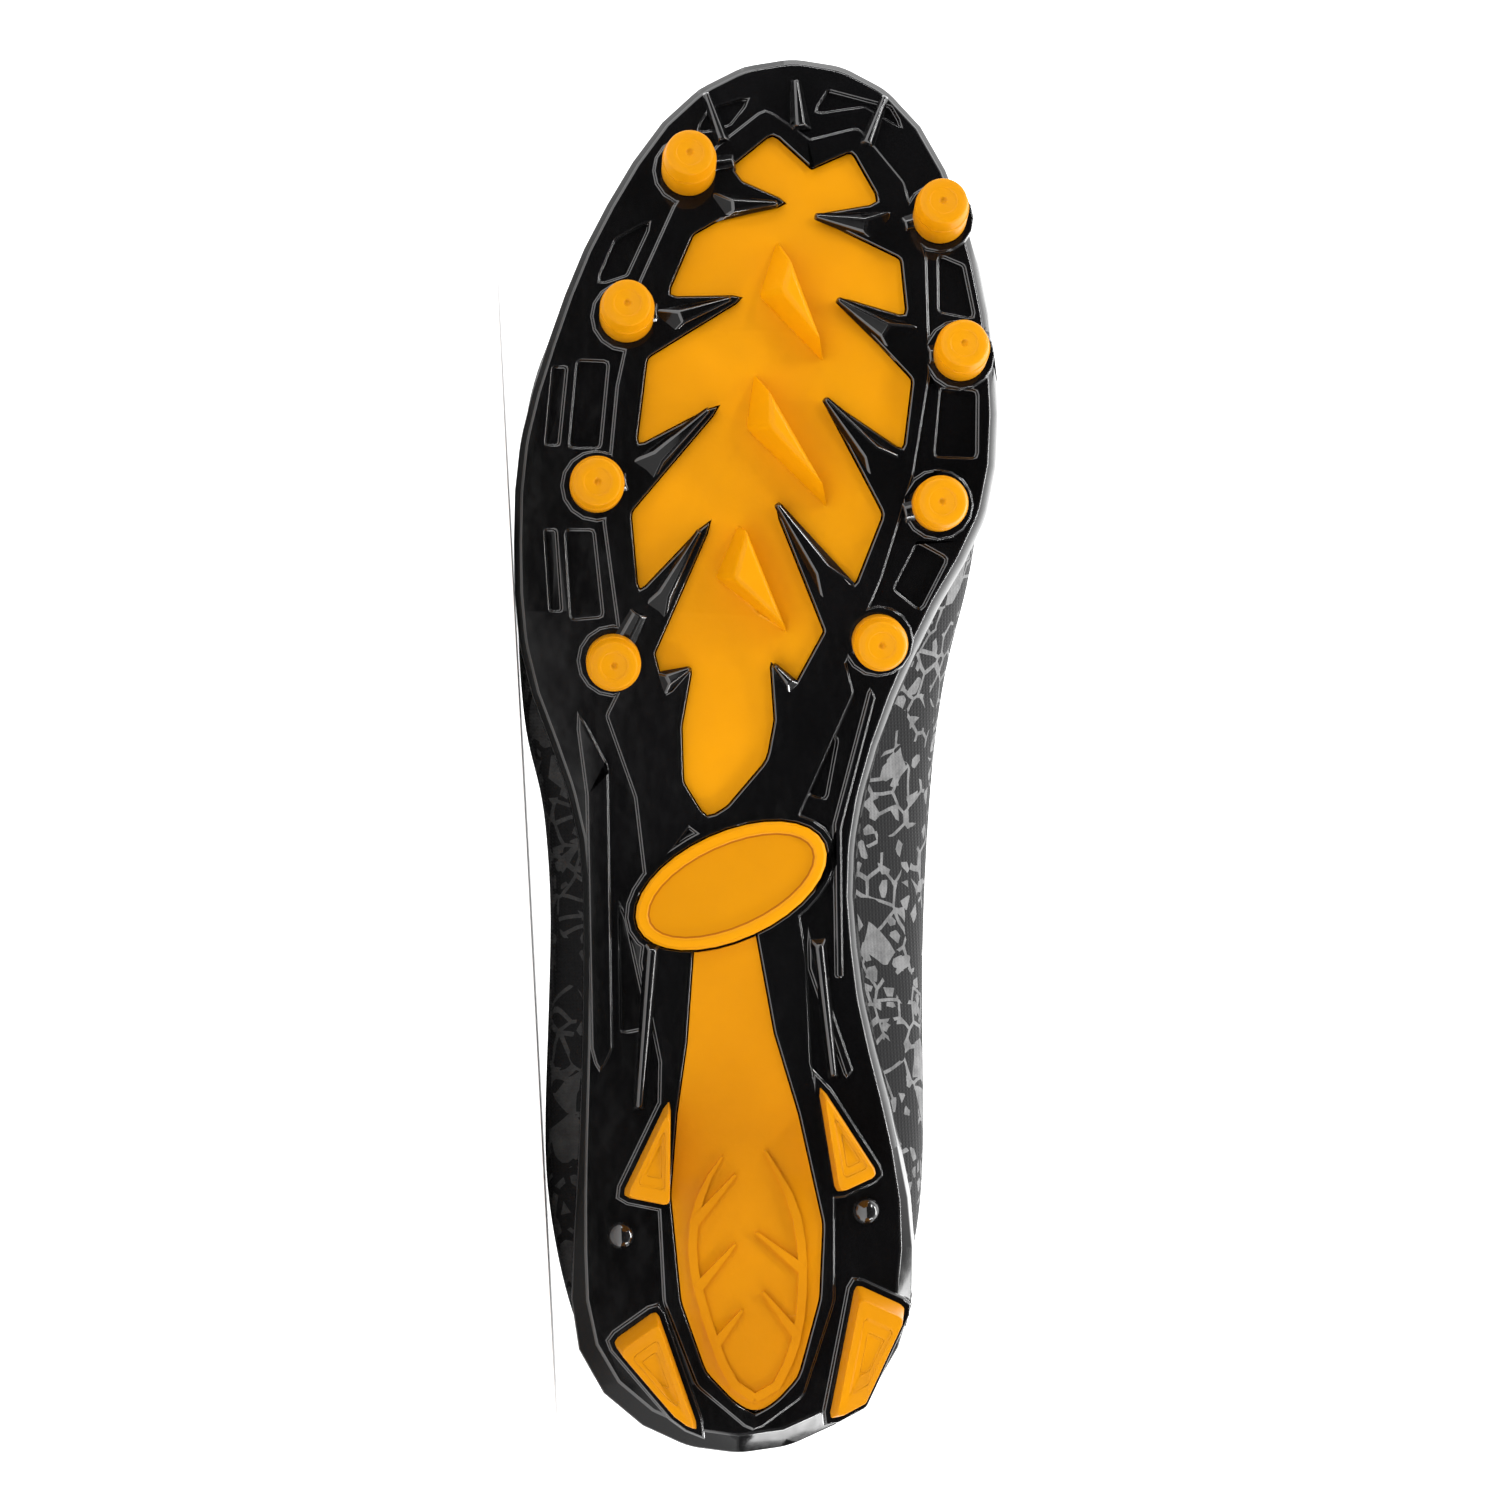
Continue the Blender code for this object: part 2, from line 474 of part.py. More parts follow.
def prism(name, outline, top, bottom, look=None):
    rings = [[(p.x, p.y, z) for p in outline] for z in (top, bottom)]
    return mesh_object(name, ring_solid(rings), look)


def evaluated_mesh(item):
    bpy.context.view_layer.update()
    graph = bpy.context.evaluated_depsgraph_get()
    return bpy.data.meshes.new_from_object(item.evaluated_get(graph))


def combine(body, tools, operation):
    """Boolean with each tool in turn. The tools are used up."""
    for tool in tools:
        cut = body.modifiers.new(tool.name, "BOOLEAN")
        cut.operation = operation
        cut.solver = "EXACT"
        cut.object = tool
    made = evaluated_mesh(body)
    body.modifiers.clear()
    body.data = made
    for tool in tools:
        bpy.data.objects.remove(tool, do_unlink=True)
    return body


def bend(item):
    """Cut the flat piece across at the stations and lift each strip onto the sole's profile."""
    bm = bmesh.new()
    bm.from_mesh(item.data)
    bmesh.ops.remove_doubles(bm, verts=bm.verts, dist=0.00002)
    bmesh.ops.dissolve_limit(bm, angle_limit=0.001, verts=bm.verts, edges=bm.edges)
    for x in STATIONS[1:-1]:
        geometry = bm.verts[:] + bm.edges[:] + bm.faces[:]
        bmesh.ops.bisect_plane(bm, geom=geometry, dist=0.000002, plane_co=(x, 0, 0), plane_no=(1, 0, 0))
    for vert in bm.verts:
        vert.co.z += bent(vert.co.x)
    bmesh.ops.triangulate(bm, faces=bm.faces)
    bmesh.ops.recalc_face_normals(bm, faces=bm.faces)
    bm.to_mesh(item.data)
    bm.free()
    return item


# Sole

def sole_loop():
    return loop_from_edges(SOLE_MEDIAL_EDGE, SOLE_LATERAL_EDGE)


def end_share(x):
    """1 at the tips of toe and heel, 0 along the sides."""
    at = x / SHOE_LENGTH
    return max(ease(0.86, 0.99, at), 1.0 - ease(0.02, 0.20, at))


def rim_height(x):
    return RIM_HEIGHT + (RIM_HEIGHT_AT_ENDS - RIM_HEIGHT) * end_share(x)


def heel_share(x):
    return 1.0 - ease(0.04, 0.24, x / SHOE_LENGTH)


def lateral_share(y):
    """1 on the lateral side, 0 on the medial side."""
    return ease(-0.2 * BALL_WIDTH, 0.2 * BALL_WIDTH, -y)


def plate_blank():
    """The plate with its bevelled edge and the low rim that holds the upper."""
    edge = sole_loop()
    bevels = [-(EDGE_BEVEL + (HEEL_EDGE_BEVEL - EDGE_BEVEL) * heel_share(p.x)) for p in edge]
    tops = [rim_height(p.x) for p in edge]
    bottom = grown(edge, bevels)
    flared = grown(edge, [RIM_FLARE * (1.0 - end_share(p.x)) * (1.0 - lateral_share(p.y))
                          for p in edge])
    inner = grown(edge, -RIM_THICKNESS)
    rings = [
        [(p.x, p.y, -SOLE_LEVEL) for p in bottom],
        [(p.x, p.y, -0.45 * SOLE_LEVEL) for p in edge],
        [(p.x, p.y, top) for p, top in zip(flared, tops)],
        [(p.x, p.y, top) for p, top in zip(inner, tops)],
        [(p.x, p.y, 0.0) for p in inner],
    ]
    return mesh_object("outsole", ring_solid(rings), "gloss_black")


def make_outsole():
    body = plate_blank()
    root = -0.3 * SOLE_LEVEL
    raised = [prism("band", rounded(BAND_OUTLINE), root, -RAISED_LEVEL)]
    for name, rows in WAIST_BANDS.items():
        raised.append(prism(name, rounded(rows), root, -RAISED_LEVEL))
    for name, rows in HEEL_BLADES.items():
        pedestal = grown(rounded(rows), PEDESTAL_MARGIN)
        raised.append(prism(name + " pedestal", pedestal, root, -RAISED_LEVEL))
    for place in LATERAL_STUDS + MEDIAL_STUDS:
        circle = ellipse(plan(*place), BOSS_RADIUS, BOSS_RADIUS, 0.0, ROUND_SIDES)
        raised.append(prism("boss", circle, root, -RAISED_LEVEL))
    badge = grown(badge_outline(), 2 * FIT_GAP + PEDESTAL_MARGIN)
    raised.append(prism("badge land", badge, root, -RAISED_LEVEL))
    pockets = [prism("pocket", rounded(rows), -POCKET_LEVEL, -2 * RAISED_LEVEL) for rows in POCKETS]
    combine(body, pockets, "DIFFERENCE")
    combine(body, raised, "UNION")
    seats = [
        prism("insert seat", grown(rounded(INSERT_OUTLINE), FIT_GAP),
              FIT_GAP + INSERT_THICKNESS - INSERT_FACE, -2 * RAISED_LEVEL),
        prism("strip seat", grown(rounded(STRIP_OUTLINE), FIT_GAP),
              FIT_GAP + STRIP_THICKNESS - STRIP_FACE, -2 * RAISED_LEVEL),
        prism("badge seat", grown(badge_outline(), FIT_GAP), -BADGE_SEAT, -2 * RAISED_LEVEL),
    ]
    combine(body, seats, "DIFFERENCE")
    return bend(body)


def badge_outline(inset=0.0):
    centre = plan(*BADGE_CENTRE)
    return ellipse(centre, BADGE_LONG_RADIUS - inset, BADGE_SHORT_RADIUS - inset, BADGE_TURN, BADGE_SIDES)


def make_badge():
    """Bare oval: a raised rim around a sunk flat face."""
    top = -BADGE_SEAT - FIT_GAP
    rim = top - BADGE_THICKNESS
    rings = [
        [(p.x, p.y, top) for p in badge_outline()],
        [(p.x, p.y, rim + BADGE_RIM_BEVEL) for p in badge_outline()],
        [(p.x, p.y, rim) for p in badge_outline(BADGE_RIM_BEVEL)],
        [(p.x, p.y, rim) for p in badge_outline(BADGE_RIM - BADGE_RIM_BEVEL)],
        [(p.x, p.y, rim + BADGE_FACE_DEPTH) for p in badge_outline(BADGE_RIM)],
    ]
    return bend(mesh_object("oval_badge", ring_solid(rings), "golden_orange"))


def arc_between(start, end, bulge, steps=4):
    """Points from start to just before end on a bow that stands out to the right."""
    across = Vector((-(end - start).y, (end - start).x)).normalized()
    return [start.lerp(end, k / steps) + across * bulge * sin(pi * k / steps) for k in range(steps)]


def centre_blade(rows):
    """Leaning three-sided blade with one bowed side, moulded on the insert."""
    rings = []
    sinks = (0.4 * INSERT_THICKNESS, 0.0, -0.93 * CENTRE_BLADE_HEIGHT, -CENTRE_BLADE_HEIGHT)
    for sink, share, bulge in zip(sinks, (0.0, 0.0, 0.86, 1.0), (1.0, 1.0, 0.75, 0.55)):
        corners = []
        for foot_x, foot_y, tip_x, tip_y in rows:
            foot = plan(foot_x, foot_y)
            lean = Vector((-slope(foot.x) * sink, 0.0))
            corners.append(foot.lerp(plan(tip_x, tip_y), share) + lean)
        bow = arc_between(corners[0], corners[1], BLADE_BULGE * bulge)
        ring = bow + [corners[1], corners[2]]
        rings.append([(p.x, p.y, sink - INSERT_FACE) for p in ring])
    return mesh_object("centre blade", ring_solid(rings), None)


def make_insert():
    """Forefoot inlay with the three centre blades moulded on it."""
    top = INSERT_THICKNESS - INSERT_FACE
    body = prism("forefoot_insert", rounded(INSERT_OUTLINE), top, -INSERT_FACE, "golden_orange")
    combine(body, [centre_blade(rows) for rows in CENTRE_BLADES], "UNION")
    return bend(body)


def rib(line, widths, face, name):
    """Raised rib along a line in plan, with a width at each point."""
    sides = ([], [])
    for k, here in enumerate(line):
        along = (line[min(k + 1, len(line) - 1)] - line[max(k - 1, 0)]).normalized()
        across = Vector((-along.y, along.x)) * 0.5 * widths[k]
        sides[0].append(here + across)
        sides[1].append(here - across)
    return prism(name, sides[0] + sides[1][::-1], RIB_HEIGHT - face, -face - RIB_HEIGHT)


def make_strip():
    """Shank strip with the leaf raised on it, stopped at the badge."""
    top = STRIP_THICKNESS - STRIP_FACE
    body = prism("shank_strip", rounded(STRIP_OUTLINE), top, -STRIP_FACE, "strip_orange")
    ribs = []
    for rows in (LEAF_LATERAL, LEAF_MEDIAL):
        line = spaced(curve_through([plan(*row) for row in rows], 4), 11)
        widths = [RIB_WIDTH * min(1.0, 0.25 + 0.3 * k) for k in range(len(line))]
        ribs.append(rib(line, widths, STRIP_FACE, "leaf side"))
    for tip, foot in LEAF_BRANCHES:
        line = [plan(*tip), plan(*foot)]
        ribs.append(rib(line, (0.3 * RIB_WIDTH, 1.15 * RIB_WIDTH), STRIP_FACE + 0.00007, "leaf branch"))
    combine(body, ribs, "UNION")
    stop = prism("badge clearance", grown(badge_outline(), 2 * FIT_GAP), 0.0, -2 * RAISED_LEVEL)
    combine(body, [stop], "DIFFERENCE")
    return bend(body)


def stud_mesh():
    """Round stud of two steps, pointing down from its foot."""
    profile = (
        (STUD_RADIUS, 0.0), (0.94 * STUD_RADIUS, 0.55), (STUD_TIP_RADIUS + 0.0003, 0.58),
        (STUD_TIP_RADIUS, 0.95), (STUD_TIP_RADIUS - 0.0006, 1.0))
    rings = [[(radius * cos(2 * pi * k / ROUND_SIDES), radius * sin(2 * pi * k / ROUND_SIDES),
               -share * STUD_HEIGHT) for k in range(ROUND_SIDES)] for radius, share in profile]
    made = mesh_object("stud pattern", ring_solid(rings), "stud_orange", 0.7)
    mesh = made.data
    bpy.data.objects.remove(made, do_unlink=True)
    return mesh


def make_studs():
    mesh = stud_mesh()
    made = []
    for side, places in (("lateral", LATERAL_STUDS), ("medial", MEDIAL_STUDS)):
        for number, place in enumerate(places, start=1):
            foot = plan(*place)
            stud = bpy.data.objects.new(f"stud_{side}_{number}", mesh)
            bpy.context.scene.collection.objects.link(stud)
            stud.location = (foot.x, foot.y, plate_height(foot.x) - RAISED_LEVEL - FIT_GAP)
            stud.rotation_euler = (0.0, -atan(slope(foot.x)), 0.0)
            made.append(stud)
    return made


def make_heel_blades():
    made = []
    for name, rows in HEEL_BLADES.items():
        foot = rounded(rows)
        centre = sum(foot, Vector((0.0, 0.0))) / len(foot)
        rings = []
        for depth, taper in ((0.0, 0.0), (0.88, 0.86), (1.0, 1.0)):
            z = -RAISED_LEVEL - FIT_GAP - depth * HEEL_BLADE_HEIGHT
            shrink = BLADE_TAPER * taper
            rings.append([(*p.lerp(centre, shrink), z) for p in foot])
        made.append(bend(mesh_object(name, ring_solid(rings), "strip_orange")))
    return made


def make_domes():
    made = []
    for name, place in HEEL_DOMES.items():
        centre = plan(*place)
        rings = []
        for lift in (0.0, 0.35, 0.7, 0.94):
            radius = DOME_RADIUS * cos(0.5 * pi * lift)
            circle = ellipse(centre, radius, radius, 0.0, ROUND_SIDES - 4)
            z = -SOLE_LEVEL - FIT_GAP - 0.8 * DOME_RADIUS * sin(0.5 * pi * lift)
            rings.append([(p.x, p.y, z) for p in circle])
        made.append(bend(mesh_object(name, ring_solid(rings), "gloss_black", 0.9)))
    return made


# Upper

def feather_loop():
    return grown(sole_loop(), -(RIM_THICKNESS + FIT_GAP))


def top_line():
    """The collar and throat edge as a closed loop, in step with the feather line."""
    medial, lateral = [], []
    for k in range(HALF_COLUMNS + 1):
        share = k / HALF_COLUMNS
        at = read_table(TOP_LINE, 1, share)
        half = read_table(TOP_LINE, 2, share)
        centre = read_table(TOP_LINE, 3, share)
        rise = read_table(TOP_LINE, 4, share) * HEEL_RISE + read_table(TOP_LINE, 5, share) * INSTEP_RISE
        for side, line in ((1.0, medial), (-1.0, lateral)):
            point = plan(at, centre + side * half)
            line.append(Vector((point.x, point.y, plate_height(point.x) + rise)))
    return medial + lateral[-2:0:-1]


def wall_row(number, point):
    """Weights and height share of one row of the wall, between the forms of the sides and the toe."""
    toe = ease(0.60, 0.90, point.x / SHOE_LENGTH)
    lateral = lateral_share(point.y)
    made = []
    for inner, outer, front in zip(MEDIAL_ROWS[number], LATERAL_ROWS[number], TOE_ROWS[number]):
        side = inner + (outer - inner) * lateral
        made.append(side + (front - side) * toe)
    return made


def upper_columns():
    """Points of the upper's outer face: for each column the row from the feather line up."""
    feather = feather_loop()
    girth = loop_from_edges(GIRTH_MEDIAL_EDGE, GIRTH_LATERAL_EDGE)
    top = top_line()
    columns = []
    for low, wide, high in zip(feather, girth, top):
        plate = bent(low.x)
        above_rim = plate + rim_height(low.x) + 2 * FIT_GAP
        column = [Vector((low.x, low.y, plate + FIT_GAP))]
        for number in range(1, len(MEDIAL_ROWS)):
            at_feather, at_girth, at_top, share = wall_row(number, low)
            flat = low * at_feather + wide * at_girth + high.xy * at_top
            column.append(Vector((flat.x, flat.y, above_rim + share * (high.z - above_rim))))
        columns.append(column)
    return columns


def column_normals(columns):
    """Outward direction at each point of the outer face."""
    count = len(columns)
    normals = []
    for k, column in enumerate(columns):
        ahead = columns[(k + 1) % count]
        behind = columns[k - 1]
        line = []
        for row in range(len(column)):
            around = ahead[row] - behind[row]
            upward = column[min(row + 1, len(column) - 1)] - column[max(row - 1, 0)]
            if row == 0:
                upward = Vector((0.0, 0.0, 1.0))
            line.append(upward.cross(around).normalized())
        normals.append(line)
    return normals


def make_upper(columns, normals):
    """One lasted shell with a real wall, open at collar and throat and underneath."""
    rows = len(columns[0])
    outer = [[column[row] for column in columns] for row in range(rows)]
    inner = [[column[row] - normal[row] * UPPER_WALL for column, normal in zip(columns, normals)]
             for row in range(rows)]
    bm = ring_solid(outer + inner[::-1], capped=False)
    return mesh_object("upper", bm, "knit_black", 0.8)


def place_down(column, normal, distance):
    """Point and direction on the outer face, a distance down a column from the top line."""
    left = distance
    for row in range(len(column) - 1, 0, -1):
        step = (column[row - 1] - column[row]).length
        if left <= step or row == 1:
            share = left / step
            direction = normal[row].lerp(normal[row - 1], share).normalized()
            return column[row].lerp(column[row - 1], share), direction
        left -= step


def make_eyestay(columns, normals):
    """Overlay around the throat, laid on the upper's outer face."""
    low_side, high_side = [], []
    for k in range(EYESTAY_FIRST_COLUMN, 2 * HALF_COLUMNS - EYESTAY_FIRST_COLUMN + 1):
        low, high = [], []
        for share in (0.0, 0.5, 1.0):
            distance = EYESTAY_EDGE + share * (EYESTAY_WIDTH - EYESTAY_EDGE)
            point, normal = place_down(columns[k], normals[k], distance)
            low.append(point + normal * EYESTAY_GAP)
            high.append(point + normal * (EYESTAY_GAP + EYESTAY_THICKNESS))
        low_side.append(low)
        high_side.append(high)
    rings = [low + high[::-1] for low, high in zip(low_side, high_side)]
    return mesh_object("eyestay", ring_solid(rings), "overlay_black", 0.7)


def eyelet_places(columns, normals):
    """Pairs of point and direction on the eyestay, medial then lateral, from the throat top on."""
    pairs = []
    for number in range(EYELET_PAIRS):
        index = FIRST_EYELET_COLUMN + EYELET_COLUMN_STEP * number
        pair = []
        for k in (index, 2 * HALF_COLUMNS - index):
            point, normal = place_down(columns[k], normals[k], EYELET_FROM_EDGE)
            pair.append((point + normal * (EYESTAY_GAP + EYESTAY_THICKNESS + FIT_GAP), normal))
        pairs.append(pair)
    return pairs


def eyelet_mesh():
    profile = ((EYELET_HOLE, 0.0), (EYELET_RADIUS, 0.0), (0.9 * EYELET_RADIUS, EYELET_HEIGHT),
               (1.15 * EYELET_HOLE, EYELET_HEIGHT))
    rings = [[(radius * cos(2 * pi * k / EYELET_SIDES), radius * sin(2 * pi * k / EYELET_SIDES), z)
              for k in range(EYELET_SIDES)] for radius, z in profile]
    made = mesh_object("eyelet pattern", ring_solid(rings, capped=False), "overlay_black", 0.9)
    mesh = made.data
    bpy.data.objects.remove(made, do_unlink=True)
    return mesh


def make_eyelets(places):
    mesh = eyelet_mesh()
    made = []
    for number, pair in enumerate(places, start=1):
        for side, (point, normal) in zip(("medial", "lateral"), pair):
            ring = bpy.data.objects.new(f"eyelet_{side}_{number}", mesh)
            bpy.context.scene.collection.objects.link(ring)
            ring.location = point
            ring.rotation_mode = "QUATERNION"
            ring.rotation_quaternion = normal.to_track_quat("Z", "Y")
            made.append(ring)
    return made


def tongue_sections(columns, normals):
    """Cross-sections of the tongue's outer face, from the front of the throat to its free top."""
    sections = []
    for k in range(HALF_COLUMNS - 2, EYESTAY_FIRST_COLUMN, -2):
        edges = []
        for index in (k, 2 * HALF_COLUMNS - k):
            down, normal = place_down(columns[index], normals[index], TONGUE_MARGIN)
            under = UPPER_WALL + TONGUE_CLEARANCE
            edges.append((down - normal * 1.2 * under, columns[index][-1] - normals[index][-1] * under))
        (medial_far, medial_near), (lateral_far, lateral_near) = edges
        across = medial_near - lateral_near
        level = Vector((0.0, 0.0, across.length))
        crown = 0.5 * (medial_near + lateral_near) + 0.16 * level
        shoulder = crown - 0.04 * level
        sections.append([medial_far, medial_near, shoulder + 0.25 * across, crown,
                         shoulder - 0.25 * across, lateral_near, lateral_far])
    for back, lift, narrow in TONGUE_TOP:
        last = sections[-1]
        centre = sum(last, Vector()) / len(last)
        shift = Vector((-back * INSTEP_RISE, 0.0, lift * INSTEP_RISE))
        sections.append([centre + (p - centre) * narrow + shift for p in last])
    return sections


def make_tongue(columns, normals):
    sections = tongue_sections(columns, normals)
    rings = []
    for number, section in enumerate(sections):
        ahead = sections[max(number - 1, 0)]
        behind = sections[min(number + 1, len(sections) - 1)]
        along = (ahead[3] - behind[3]).normalized()
        inner = []
        for k, point in enumerate(section):
            across = section[max(k - 1, 0)] - section[min(k + 1, len(section) - 1)]
            inner.append(point - along.cross(across).normalized() * TONGUE_THICKNESS)
        rings.append(section + inner[::-1])
    return mesh_object("tongue", ring_solid(rings), "knit_black", 0.8)


def make_insole():
    outline = grown(feather_loop(), -(UPPER_WALL + 2 * FIT_GAP))
    return bend(prism("insole", outline, FIT_GAP + INSOLE_THICKNESS, FIT_GAP, "lining_black"))


def ribbon(name, points, ups):
    """Flat lace along points, with its width level with the surface that it crosses."""
    rings = []
    for k, point in enumerate(points):
        along = (points[min(k + 1, len(points) - 1)] - points[max(k - 1, 0)]).normalized()
        wide = along.cross(ups[k]).normalized() * 0.5 * LACE_WIDTH
        thick = ups[k] * 0.5 * LACE_THICKNESS
        lower, upper = point - thick, point + thick
        rings.append([lower - wide, lower + wide, upper + wide, upper - wide])
    return mesh_object(name, ring_solid(rings), "lace_black")


def lace_bar(start, end, crown):
    """Points and up directions of one bar, from eyelet to eyelet over the tongue."""
    height = EYELET_HEIGHT + LACE_LIFT + 0.5 * LACE_THICKNESS
    first = start[0] + start[1] * height
    last = end[0] + end[1] * height
    crown = max(crown + LACE_LIFT + 0.5 * LACE_THICKNESS, 0.5 * (first.z + last.z))
    middle = Vector((0.5 * (first.x + last.x), 0.5 * (first.y + last.y), crown))
    points = [first, first.lerp(middle, 0.4), middle, middle.lerp(last, 0.6), last]
    points[1].z = middle.z - 0.15 * (middle.z - first.z)
    points[3].z = middle.z - 0.15 * (middle.z - last.z)
    level = Vector((0.0, 0.0, 1.0))
    ups = [start[1], (start[1] + level).normalized(), (start[1] + end[1]).normalized(),
           (end[1] + level).normalized(), end[1]]
    return points, ups


def make_lace(places, columns, normals):
    """Straight lacing: a bar over the tongue at each pair of eyelets, joined along the sides in turn."""
    sections = tongue_sections(columns, normals)
    crown_line = sorted((section[3].x, section[3].z) for section in sections)
    crown_xs = [point[0] for point in crown_line]
    crown_zs = [point[1] for point in crown_line]
    points, ups = [], []
    for number, pair in enumerate(places[::-1]):
        start, end = pair if number % 2 == 0 else pair[::-1]
        crown = float(np.interp(start[0].x, crown_xs, crown_zs))
        bar_points, bar_ups = lace_bar(start, end, crown)
        points += bar_points
        ups += bar_ups
    return ribbon("lace", points, ups)


# Rest on the floor

def volume_and_centre(points, triangles):
    corners = points[triangles]
    volumes = np.einsum("ij,ij->i", corners[:, 0], np.cross(corners[:, 1], corners[:, 2])) / 6.0
    centres = corners.sum(axis=1) / 4.0
    total = volumes.sum()
    return total, (volumes[:, None] * centres).sum(axis=0) / total


def shoe_points_and_balance(pieces):
    """Every corner of the shoe, and its centre of mass."""
    everything, weights, centres = [], [], []
    bpy.context.view_layer.update()
    for piece in pieces:
        mesh = piece.data
        mesh.calc_loop_triangles()
        place = np.array(piece.matrix_world)
        points = np.array([tuple(v.co) for v in mesh.vertices]) @ place[:3, :3].T + place[:3, 3]
        triangles = np.array([tuple(t.vertices) for t in mesh.loop_triangles])
        volume, centre = volume_and_centre(points, triangles)
        look = mesh.materials[0].name
        density = PLATE_DENSITY
        if look in ("knit_black", "lace_black", "overlay_black"):
            density = TEXTILE_DENSITY
        if look == "lining_black":
            density = FOAM_DENSITY
        everything.append(points)
        weights.append(volume * density)
        centres.append(centre)
    return np.vstack(everything), np.average(np.array(centres), axis=0, weights=weights)


def downward(roll, yaw):
    return np.array((sin(yaw), -cos(yaw) * cos(roll), cos(yaw) * sin(roll)))


def resting_matrix(pieces):
    """Turn and place of the shoe on its lateral side, where its centre of mass lies lowest."""
    points, balance = shoe_points_and_balance(pieces)
    arms = points - balance

    def height(angles):
        return float((arms @ downward(*angles)).max())

    angles = (0.0, 0.0)
    step = 0.05
    spokes = [2 * pi * k / REST_SPOKES for k in range(REST_SPOKES)]
    while step > 0.000001:
        trials = [(angles[0] + step * cos(spoke), angles[1] + step * sin(spoke)) for spoke in spokes]
        best = min(trials, key=height)
        if height(best) < height(angles) - 1e-12:
            angles = best
        else:
            step *= 0.6
    up = Vector(-downward(*angles))
    forward = (Vector((1, 0, 0)) - up * up.x).normalized()
    across = up.cross(forward)
    turn = Matrix((forward, across, up))
    turned = points @ np.array(turn).T
    low, high = turned.min(axis=0), turned.max(axis=0)
    shift = Vector((-0.5 * (low[0] + high[0]), -0.5 * (low[1] + high[1]), -low[2]))
    return Matrix.Translation(shift) @ turn.to_4x4()


def main():
    clear_scene()
    columns = upper_columns()
    normals = column_normals(columns)
    places = eyelet_places(columns, normals)
    pieces = [
        make_outsole(),
        make_insert(),
        make_strip(),
        make_badge(),
        make_upper(columns, normals),
        make_tongue(columns, normals),
        make_insole(),
        make_eyestay(columns, normals),
        make_lace(places, columns, normals),
    ]
    pieces += make_studs() + make_heel_blades() + make_domes() + make_eyelets(places)
    shoe = bpy.data.objects.new("lying_shoe", None)
    bpy.context.scene.collection.objects.link(shoe)
    place = resting_matrix(pieces)
    for piece in pieces:
        piece.parent = shoe
    shoe.matrix_world = place
    bpy.context.view_layer.update()


main()
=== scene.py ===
"""Looks of a right football cleat lying on its lateral side, its sole to the camera."""
import json
from math import cos, pi, radians, sin

import bpy
import numpy as np
from mathutils import Matrix, Vector
from mathutils.bvhtree import BVHTree

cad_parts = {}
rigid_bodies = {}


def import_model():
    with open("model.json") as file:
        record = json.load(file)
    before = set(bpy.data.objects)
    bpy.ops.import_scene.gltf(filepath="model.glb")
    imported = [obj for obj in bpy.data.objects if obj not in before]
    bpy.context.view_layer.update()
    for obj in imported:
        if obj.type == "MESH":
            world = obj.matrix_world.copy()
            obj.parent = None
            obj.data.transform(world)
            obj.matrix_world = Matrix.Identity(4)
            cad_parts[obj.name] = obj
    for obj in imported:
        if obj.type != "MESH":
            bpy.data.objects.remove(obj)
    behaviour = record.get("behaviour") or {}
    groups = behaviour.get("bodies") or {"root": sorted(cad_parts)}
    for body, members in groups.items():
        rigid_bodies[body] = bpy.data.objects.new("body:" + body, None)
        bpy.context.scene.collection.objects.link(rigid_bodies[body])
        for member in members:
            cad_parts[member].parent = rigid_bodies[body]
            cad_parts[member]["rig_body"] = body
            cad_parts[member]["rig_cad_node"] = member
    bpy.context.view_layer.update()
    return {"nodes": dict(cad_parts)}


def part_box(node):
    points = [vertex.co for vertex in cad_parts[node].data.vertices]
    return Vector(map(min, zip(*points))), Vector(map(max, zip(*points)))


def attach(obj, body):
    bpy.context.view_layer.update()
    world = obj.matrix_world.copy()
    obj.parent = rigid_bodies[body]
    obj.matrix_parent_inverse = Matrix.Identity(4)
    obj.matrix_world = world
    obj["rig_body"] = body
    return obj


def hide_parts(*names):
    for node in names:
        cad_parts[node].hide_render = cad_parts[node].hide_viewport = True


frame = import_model()
cad = frame["nodes"]

# The shoe's own frame, x heel to toe, y lateral to medial and z up from the ground it is walked
# on, and its place on the floor here
SHOE = Matrix(((0.99866, -0.05173, 0.00044, -0.14958),
               (0.0, -0.00853, -0.99996, 0.06456),
               (0.05174, 0.99862, -0.00852, 0.04005),
               (0.0, 0.0, 0.0, 1.0)))
HOME = SHOE.inverted()
SHOE_LENGTH = 0.300
SIDES = ("lateral", "medial")
EYELETS = range(1, 6)

# How far the raised band and the face of the insert stand below the plate, towards the ground
RAISED = 0.0054
INSERT_FACE = 0.0036
STATION_STEP = 0.015

# Height of the plate above the ground at each station from heel to toe, in millimetres
PLATE_HEIGHTS = (
    21.4, 19.97, 19.23, 19.29, 19.59, 20.27, 21.71, 22.91, 23.89, 23.51, 22.01,
    20.39, 18.63, 18.0, 18.04, 19.17, 21.12, 24.05, 27.41, 31.04, 34.7)


def edit(select=None, by=None):
    """Edit mode, first by vertex, edge or face, and with all or nothing selected, if asked."""
    bpy.ops.object.mode_set(mode="EDIT")
    if by:
        bpy.ops.mesh.select_mode(type=by)
    if select:
        bpy.ops.mesh.select_all(action=select)


def leave_edit():
    bpy.ops.object.mode_set(mode="OBJECT")


def blank():
    """Nothing selected and no edit mode."""
    if bpy.context.mode != "OBJECT":
        leave_edit()
    bpy.ops.object.select_all(action="DESELECT")


